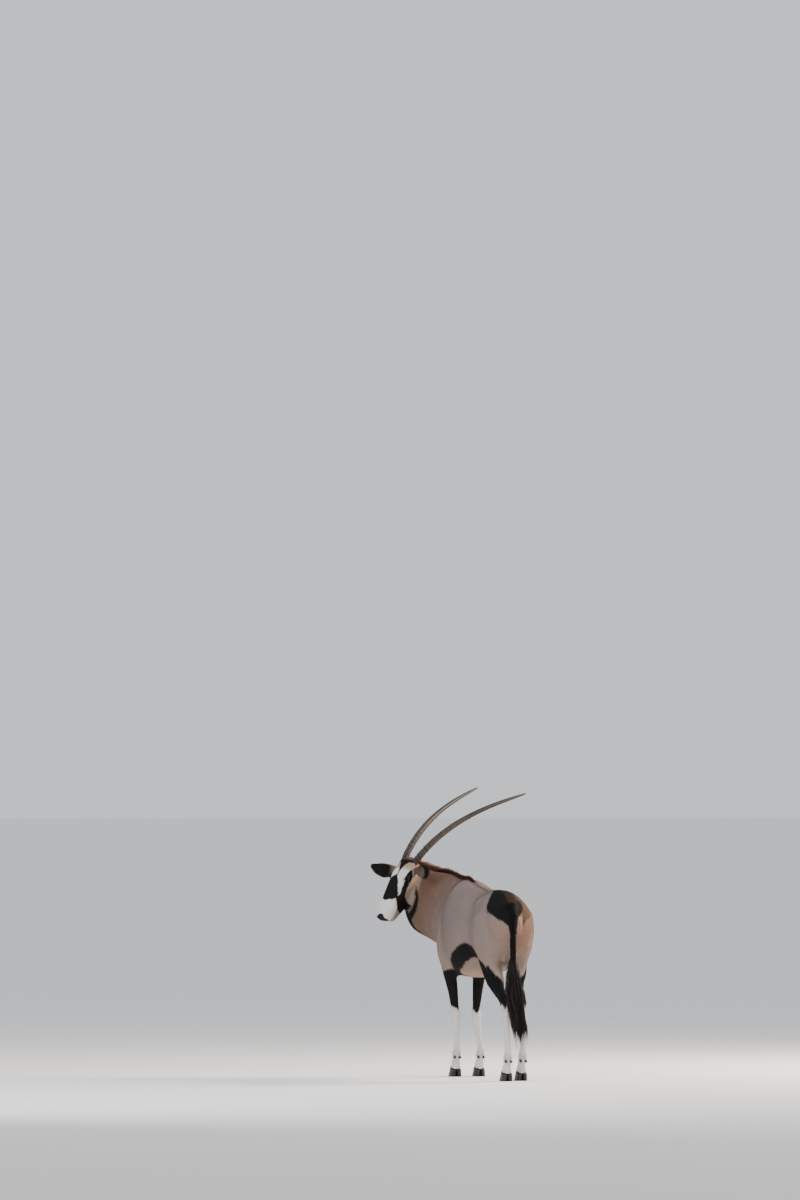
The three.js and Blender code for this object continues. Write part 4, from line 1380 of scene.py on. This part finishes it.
earHair = {
    "spacing": 0.0031,
    "inner": 0.020,
    "margin": 0.010,
    "back": 0.009,
    "width": 0.0012,
    "sink": 0.0008,
    "middle": (0.5, 0.7),
    "length": 0.186,  # the tips of the hairs stay short of this place along the ear
    # root, middle and tip: painted shade at the root and painted light at the tip
    "shade": np.array((0.9, 1.0, 1.1)),
    "shortest": 0.004,
    "lengths": (0.7, 1.25),
    "widths": (0.7, 1.2),
    "tints": (0.85, 1.15),
    "lifts": (0.10, 0.16),  # on the back and in the cup, as shares of length
    "rimLean": (0.40, 0.20),  # outward and out of the cup
    "loose": 0.05,
    "paleCup": 0.42,
    "paleRim": 0.45,
}


def makeEarHair(surface):  # long pale hairs in the cup and at its edges, short ones on the back
    draw = np.random.default_rng(131)
    roots, normals = scatter(surface, np.ones(len(surface["area"])), earHair["spacing"], draw)
    side = np.where(headPlace(roots)[:, 0] > 0, 1, -1)
    count = len(roots)
    axis, facing, across, place = (np.zeros((count, 3)) for _ in range(4))
    for which in sideNames:
        here = side == which
        across[here], facing[here], axis[here] = [headAxes @ way for way in earAxes(which)]
        place[here] = earPlace(roots[here], which)
    beyond, outer = earEdge(place, side)
    rim = smooth(-0.010, -0.003, beyond)
    inner = smooth(0.1, 0.4, (normals * facing).sum(1))
    shortest = earHair["shortest"]
    size = mix(earHair["back"], earHair["inner"] * smooth(0.13, 0.02, place[:, 2]) + shortest, inner)
    size = mix(size, earHair["margin"], rim) * draw.uniform(*earHair["lengths"], count)
    size = np.minimum(size, np.maximum(earHair["length"] - place[:, 2], shortest))
    beside, out = earHair["rimLean"]
    way = axis + across * (outer * beside * rim)[:, None] + facing * (out * rim)[:, None]
    flow = squareTo(way + draw.normal(0, earHair["loose"], (count, 3)), normals)
    line = tuftLines(roots, normals, flow, size, size * mix(*earHair["lifts"], inner), earHair)
    wide = earHair["width"] * draw.uniform(*earHair["widths"], (count, 1))
    pale = mix(coatTints["cheek"], coatTints["white"], draw.uniform(0, 0.8, (count, 1)))
    cup = inner * smooth(0.085, 0.055, place[:, 2]) * earHair["paleCup"]
    chosen = draw.uniform(size=count) < earHair["paleRim"]
    share = np.maximum(cup, rim * earHair["paleRim"] * chosen)
    colours = layOver(paintEars(roots, normals), pale, share) * draw.uniform(*earHair["tints"], (count, 1))
    width = wide * (1, 0.6)
    half = np.where(side > 0, 0, 0.5)
    spots = np.stack([(place[:, 0] / 0.12 + 0.5) * 0.5 + half, place[:, 2] / 0.22 + 0.1], 1)
    return hairMesh("coat_ears", line, normals, width, width * 0.4, colours, earHair["shade"], spots)


# Mane and tail switch

maneForm = {
    "blades": 2100,
    "heights": [(0, 0.030), (0.06, 0.036), (0.35, 0.030), (0.62, 0.025), (0.85, 0.022), (1, 0.005)],
    "halfWidth": 0.012,
    "lean": 0.014,
    "spread": 0.28,
    "clump": 0.30,
    "width": 0.0030,
    "taper": (1.0, 0.95, 0.75, 0.5),
    # ring by ring from root to tip: painted shade at the root and painted light towards the tip
    "shade": np.array((0.7, 0.85, 1.0, 1.2, 1.9)),
    "sink": 0.002,
    "above": 0.06,  # the height over the crest from which the roots drop on to the skin
    "fromMiddle": 0.45,
    "edgeLoss": 0.35,
    "lengths": (0.6, 1.12),
    "tips": (0.8, 1.6),
    "widths": (0.7, 1.3),
    "clumpSize": 0.035,
}


def dropped(tree, points, ways):  # the points moved along their ways on to the skin
    roots = []
    for point, way in zip(points, ways):
        hit = tree.ray_cast(Vector(point), Vector(way), 0.16)[0]
        roots.append(tree.find_nearest(Vector(point))[0] if hit is None else hit)
    return np.array(roots)


def makeMane(skinTree):
    draw = np.random.default_rng(23)
    count = maneForm["blades"]
    crest = smoothLine(np.concatenate([maneLine, maneUp], 1))
    stops = np.append(0, np.cumsum(np.linalg.norm(np.diff(crest[:, :3], axis=0), axis=1)))
    stops /= stops[-1]
    share = np.sort(draw.uniform(0, 1, count))
    values = rowsAt(crest, share, stops)
    ahead = unit(rowsAt(np.gradient(crest[:, :3], axis=0), share, stops))
    up = unit(values[:, 3:])
    aside = unit(np.cross(ahead, up))
    shift = draw.normal(0, maneForm["fromMiddle"], count).clip(-1, 1)
    sideways = aside * (shift * maneForm["halfWidth"])[:, None]
    start = onBody(values[:, :3] + up * maneForm["above"] + sideways)
    roots = dropped(skinTree, start, -up)
    crestGap = ((onBody(values[:, :3]) - roots) * up).sum(1)
    height = curve(share, maneForm["heights"]) * draw.uniform(*maneForm["lengths"], count)
    height = (height + crestGap.clip(0, 0.02)) * (1 - maneForm["edgeLoss"] * np.abs(shift))
    rise = up * height[:, None]
    fan = aside * (shift * height * maneForm["spread"])[:, None]
    clump = maneForm["clump"] * (height * wobble(roots, maneForm["clumpSize"], 61))[:, None] * aside
    lean = maneForm["lean"]
    line = [roots - up * maneForm["sink"] + (rise + fan) * t + (ahead * lean + clump) * t * t
            for t in (0, 0.25, 0.5, 0.75)]
    line.append(roots + rise + fan + clump + ahead * (lean * draw.uniform(*maneForm["tips"], (count, 1))))
    width = maneForm["width"] * draw.uniform(*maneForm["widths"], (count, 1)) * maneForm["taper"]
    facing = aside * np.where(shift >= 0, 1, -1)[:, None]
    darker = smooth(0.02, 0.30, share + draw.normal(0, 0.04, count))
    colours = mix(coatTints["crest"], coatTints["mane"], darker[:, None])
    colours = layOver(colours, coatTints["black"], draw.uniform(0, 0.9, count) ** 2)
    return hairMesh("mane", np.stack(line, 1), facing, width, width * 0.35, colours, maneForm["shade"],
                    np.stack([share, shift * 0.4 + 0.5], 1))


switchForm = {
    "strands": 1250,
    "line": [(0.026, 0.684, 0.800), (0.031, 0.690, 0.700), (0.024, 0.692, 0.560), (0.007, 0.690, 0.430),
             (-0.018, 0.688, 0.300), (-0.032, 0.686, 0.165)],
    "halfWidth": [0.022, 0.045, 0.060, 0.056, 0.053, 0.048],
    "halfDepth": [0.017, 0.026, 0.034, 0.031, 0.028, 0.022],
    "width": 0.0052,
    "taper": (0.55, 0.9, 1.0, 1.0, 0.95, 0.85, 0.65, 0.4),
    "tint": tint(24, 21, 22),
    "brown": tint(52, 38, 30),
    "brownShare": 0.12,
    "roots": (0, 0.62, 1.15),  # range along the line, and how much they crowd towards its start
    "lengths": (0.32, 0.56),
    "tips": (0.90, 1.0),
    "sweep": 0.25,
    "waves": (0.22, 5, 9),
    "widths": (0.6, 1.3),
    "tints": (0.6, 1.7),
}


def makeSwitch():
    draw = np.random.default_rng(37)
    count = switchForm["strands"]
    steps = len(switchForm["taper"])
    table = smoothLine(np.column_stack([switchForm[key] for key in ("line", "halfWidth", "halfDepth")]))
    stops = np.arange(len(table)) / (len(table) - 1)
    first, last, crowding = switchForm["roots"]
    rootAt = draw.uniform(first, last, count) ** crowding
    tipAt = rootAt + draw.uniform(*switchForm["lengths"], count)
    tipAt = np.minimum(tipAt, draw.uniform(*switchForm["tips"], count))
    angle = draw.uniform(0, 2 * math.pi, count)
    reach = np.sqrt(draw.uniform(0.02, 1, count))
    sweep = draw.normal(0, switchForm["sweep"], count)
    wave, perLength, perReach = switchForm["waves"]
    line = []
    for t in np.arange(steps + 1) / steps:
        at = mix(rootAt, tipAt, t)
        values = rowsAt(table, at, stops)
        spread = mix(0.10, 0.95, np.sin(min(t * 1.2, 1) * math.pi / 2)) * reach
        turn = angle + sweep * t + wave * np.sin(perLength * at + perReach * reach)
        values[:, 0] += np.cos(turn) * values[:, 3] * spread
        values[:, 1] += np.sin(turn) * values[:, 4] * spread
        line.append(onBody(values[:, :3]))
    line = np.stack(line, 1)
    centre = rowsAt(table[:, :3], mix(rootAt, tipAt, 0.5), stops)
    facing = unit((line[:, steps // 2] - onBody(centre)) * (1, 1, 0) + 1e-6)
    width = switchForm["width"] * draw.uniform(*switchForm["widths"], (count, 1)) * switchForm["taper"]
    colours = switchForm["tint"] * draw.uniform(*switchForm["tints"], (count, 1))
    colours = np.where(draw.uniform(size=(count, 1)) < switchForm["brownShare"], switchForm["brown"], colours)
    spots = np.stack([angle / (2 * math.pi), rootAt * 0.9 + 0.05], 1)
    # darker at the root and lighter at the tip: painted shade and painted light along each strand
    shade = np.linspace(0.9, 1.25, steps + 1)
    return hairMesh("tail_hair", line, facing, width, width * 0.4, colours, shade, spots)


# Materials

hairLook = {"specular": 0.12, "grain": 420, "relief": 0.15, "range": (0.88, 1.1)}
looks = {
    "shortCoat": {"roughness": 0.72, "specular": 0.12, "grain": 260, "relief": 0.5, "stretch": (1, 1, 0.35)},
    "coatHair": {**hairLook, "roughness": 0.72},
    "lashHair": {**hairLook, "roughness": 0.5},
    "maneHair": {**hairLook, "roughness": 0.5},
    "switchHair": {**hairLook, "roughness": 0.42},
    "hornSheath": {"roughness": 0.48, "specular": 0.25, "grain": 340, "relief": 0.3, "range": (0.75, 1.3)},
    "eyeBall": {"roughness": 0.25, "specular": 0.22, "coat": 0.32, "coatRoughness": 0.06},
    "hoofHorn": {"roughness": 0.45, "specular": 0.35, "grain": 60, "detail": 4, "relief": 0.35,
                 "depth": 0.0015, "stretch": (0.4, 0.4, 2.2),
                 "tints": ((0.3, tint(36, 32, 31)), (0.8, tint(60, 53, 48)))},
    "paleFloor": {"roughness": 0.8, "specular": 0.2},
}


def addNode(tree, kind, values=None, **links):  # values for its inputs, and outputs linked to them
    node = tree.nodes.new("ShaderNode" + kind)
    for name, value in (values or {}).items():
        node.inputs[name].default_value = value
    for name, output in links.items():
        tree.links.new(output, node.inputs[name])
    return node


def newMaterial(name):
    look = looks[name]
    material = bpy.data.materials.new(name)
    material.use_nodes = True
    tree = material.node_tree
    shader = tree.nodes["Principled BSDF"]
    shader.inputs["Roughness"].default_value = look["roughness"]
    shader.inputs["Specular IOR Level"].default_value = look["specular"]
    return material, tree, shader, look


def addGrain(tree, shader, look):  # fine noise, which also gives the surface its relief
    coords = addNode(tree, "TexCoord")
    mapping = addNode(tree, "Mapping", {"Scale": look.get("stretch", (1, 1, 1))},
                      Vector=coords.outputs["Object"])
    noise = addNode(tree, "TexNoise", {"Scale": look["grain"], "Detail": look.get("detail", 3)},
                    Vector=mapping.outputs["Vector"])
    bump = addNode(tree, "Bump", {"Strength": look["relief"], "Distance": look.get("depth", 0.002)},
                   Height=noise.outputs["Fac"])
    tree.links.new(bump.outputs["Normal"], shader.inputs["Normal"])
    return noise.outputs["Fac"]


def addTint(tree):
    tintNode = addNode(tree, "Attribute")
    tintNode.attribute_name = "coatTint"
    return tintNode.outputs["Color"]


def paintedMaterial(name):  # the painted tint, varied a little by the grain
    material, tree, shader, look = newMaterial(name)
    low, high = look.get("range", (0.82, 1.15))
    grain = addNode(tree, "MapRange", {"To Min": low, "To Max": high}, Value=addGrain(tree, shader, look))
    scale = tree.nodes.new("ShaderNodeVectorMath")
    scale.operation = "SCALE"
    tree.links.new(addTint(tree), scale.inputs[0])
    tree.links.new(grain.outputs["Result"], scale.inputs["Scale"])
    tree.links.new(scale.outputs["Vector"], shader.inputs["Base Color"])
    return material


def eyeMaterial():
    material, tree, shader, look = newMaterial("eyeBall")
    tree.links.new(addTint(tree), shader.inputs["Base Color"])
    shader.inputs["Coat Weight"].default_value = look["coat"]
    shader.inputs["Coat Roughness"].default_value = look["coatRoughness"]
    return material


def hoofMaterial():
    material, tree, shader, look = newMaterial("hoofHorn")
    ramp = addNode(tree, "ValToRGB", Fac=addGrain(tree, shader, look))
    for stop, (place, colour) in zip(ramp.color_ramp.elements, look["tints"]):
        stop.position = place
        stop.color = (*colour, 1)
    tree.links.new(ramp.outputs["Color"], shader.inputs["Base Color"])
    return material


def finishPiece(piece, material, slot, *nodes):
    piece.data.materials.clear()
    piece.data.materials.append(material)
    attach(piece, "root")
    if nodes:
        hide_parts(*nodes)


# Stage, lights and camera

stageValues = {
    "floorTint": (0.88, 0.87, 0.86),
    "worldTint": (0.86, 0.89, 0.94),
    "worldStrength": 0.92,
    "floorSize": 900,
    "lit": (0, 0, 0.9),  # the body place that the lights turn round and face
    "lights": [
        # name, place (rightward in the picture, towards the camera, up), size, power, colour
        ("keyLight", (5.5, -2.6, 3.4), 2.8, 1050, (1.0, 0.82, 0.63)),
        ("fillLight", (-3.5, 6.0, 3.0), 4.5, 260, (0.86, 0.92, 1.0)),
        ("topLight", (0, 0.5, 6.0), 5.0, 156, (1, 1, 1)),
    ],
}

cameraValues = {
    "azimuth": 15.5,
    "distance": 60.0,
    "height": 1.76,
    "lens": 300.0,
    "sensor": 36.0,
    "picture": (800, 1200),
    "imagePlace": (485, 1080),  # where the middle, a place on the floor, lands in the picture
    "middle": (0.02656, 0.30195),
    "scale": 167.0,  # pixels in a metre at the middle
    "horizon": 785,
}


def makeStage():
    deselectAll()
    bpy.ops.mesh.primitive_plane_add(size=1, location=(0, 0, 0))
    floor = bpy.context.object
    floor.name = "floor"
    setPoints(floor.data, meshPoints(floor.data) * stageValues["floorSize"])
    material, _, shader, _ = newMaterial("paleFloor")
    shader.inputs["Base Color"].default_value = (*stageValues["floorTint"], 1)
    floor.data.materials.append(material)
    world = bpy.data.worlds.new("paleStudio")
    world.use_nodes = True
    background = world.node_tree.nodes["Background"]
    background.inputs["Color"].default_value = (*stageValues["worldTint"], 1)
    background.inputs["Strength"].default_value = stageValues["worldStrength"]
    bpy.context.scene.world = world


def aimed(piece, place, way):
    piece.location = place
    piece.rotation_euler = Vector(way).to_track_quat("-Z", "Y").to_euler()
    return piece


def viewAxes():  # rightward in the picture, and towards the camera
    turn = math.radians(cameraValues["azimuth"])
    return np.array((-math.cos(turn), math.sin(turn), 0)), np.array((math.sin(turn), math.cos(turn), 0))


def makeLights():
    middle = onBody(stageValues["lit"])
    axes = np.stack([*viewAxes(), (0, 0, 1)])
    for name, offset, size, power, colour in stageValues["lights"]:
        light = bpy.data.lights.new(name, "AREA")
        light.shape = "DISK"
        light.size = size
        light.energy = power
        light.color = colour
        lamp = aimed(addPiece(name, light), middle + offset @ axes, -(offset @ axes))
        lamp.visible_camera = False


def makeCamera():
    rightward, toCamera = viewAxes()
    width, height = cameraValues["picture"]
    focal = cameraValues["lens"] / cameraValues["sensor"] * height
    aside = (width / 2 - cameraValues["imagePlace"][0]) / cameraValues["scale"]
    place = np.array((*cameraValues["middle"], 0)) + rightward * aside + toCamera * cameraValues["distance"]
    place[2] = cameraValues["height"]
    pitch = math.atan((cameraValues["horizon"] - height / 2) / focal)
    camera = bpy.data.cameras.new("camera")
    camera.lens = cameraValues["lens"]
    camera.sensor_width = cameraValues["sensor"]
    camera.clip_start = 1
    camera.clip_end = 2000
    look = -toCamera * math.cos(pitch) + np.array((0, 0, 1)) * math.sin(pitch)
    bpy.context.scene.camera = aimed(addPiece("camera", camera), place, look)


# The gemsbok, put together

makeStage()
makeLights()
makeCamera()
print("stage ready")

skin = makeSkin()
layStripes(skin.data)
setColours(skin.data, paint(meshPoints(skin.data)))
shadeSmooth(skin)
skinShell = skin.data.copy()
ears = makeEars()
setColours(ears.data, paintEars(meshPoints(ears.data), meshNormals(ears.data)))
shadeSmooth(ears)
earSurface = skinSurface(ears.data)
makeActive(skin)
ears.select_set(True)
bpy.ops.object.join()
finishPiece(skin, paintedMaterial("shortCoat"), "coat", "ear_left", "ear_right", *fleshNodes)
print("skin and ears painted", len(skin.data.polygons))

hornLook = paintedMaterial("hornSheath")
eyeLook = eyeMaterial()
lashLook = paintedMaterial("lashHair")
hoofLook = hoofMaterial()
for side in sideNames:
    finishPiece(makeHorn(side), hornLook, "horn", "horn_" + sideNames[side])
    finishPiece(makeEye(side), eyeLook, "eye", "eye_" + sideNames[side])
    finishPiece(makeLashes(side), lashLook, "black_hair")
for limb in limbNames:
    for part in ("hoof", "dewclaw"):
        for side in sideNames.values():
            hoof, node = makeHoof(limb, part, side)
            finishPiece(hoof, hoofLook, "hoof", node)
print("horns, eyes and hooves ready")

surface = skinSurface(skinShell)
zones = coatZones(surface["middle"])
coatLook = paintedMaterial("coatHair")
coatSlots = {"coat_neck": "neck_coat", "coat_tail": "black_hair"}
for index, name in enumerate(coatPlan):
    coat = makeCoat(name, surface, zones, 100 + index)
    finishPiece(coat, coatLook, coatSlots.get(name, "coat"))
    print(name, len(coat.data.vertices) // 7, "tufts")
earCoat = makeEarHair(earSurface)
finishPiece(earCoat, coatLook, "coat")
print("coat_ears", len(earCoat.data.vertices) // 7, "tufts")
skinTree = BVHTree.FromPolygons([Vector(p) for p in surface["points"]], surface["corners"].tolist())
finishPiece(makeMane(skinTree), paintedMaterial("maneHair"), "black_hair")
finishPiece(makeSwitch(), paintedMaterial("switchHair"), "black_hair", "tail_switch")
print("coat, mane and switch ready")
bpy.data.meshes.remove(skinShell)
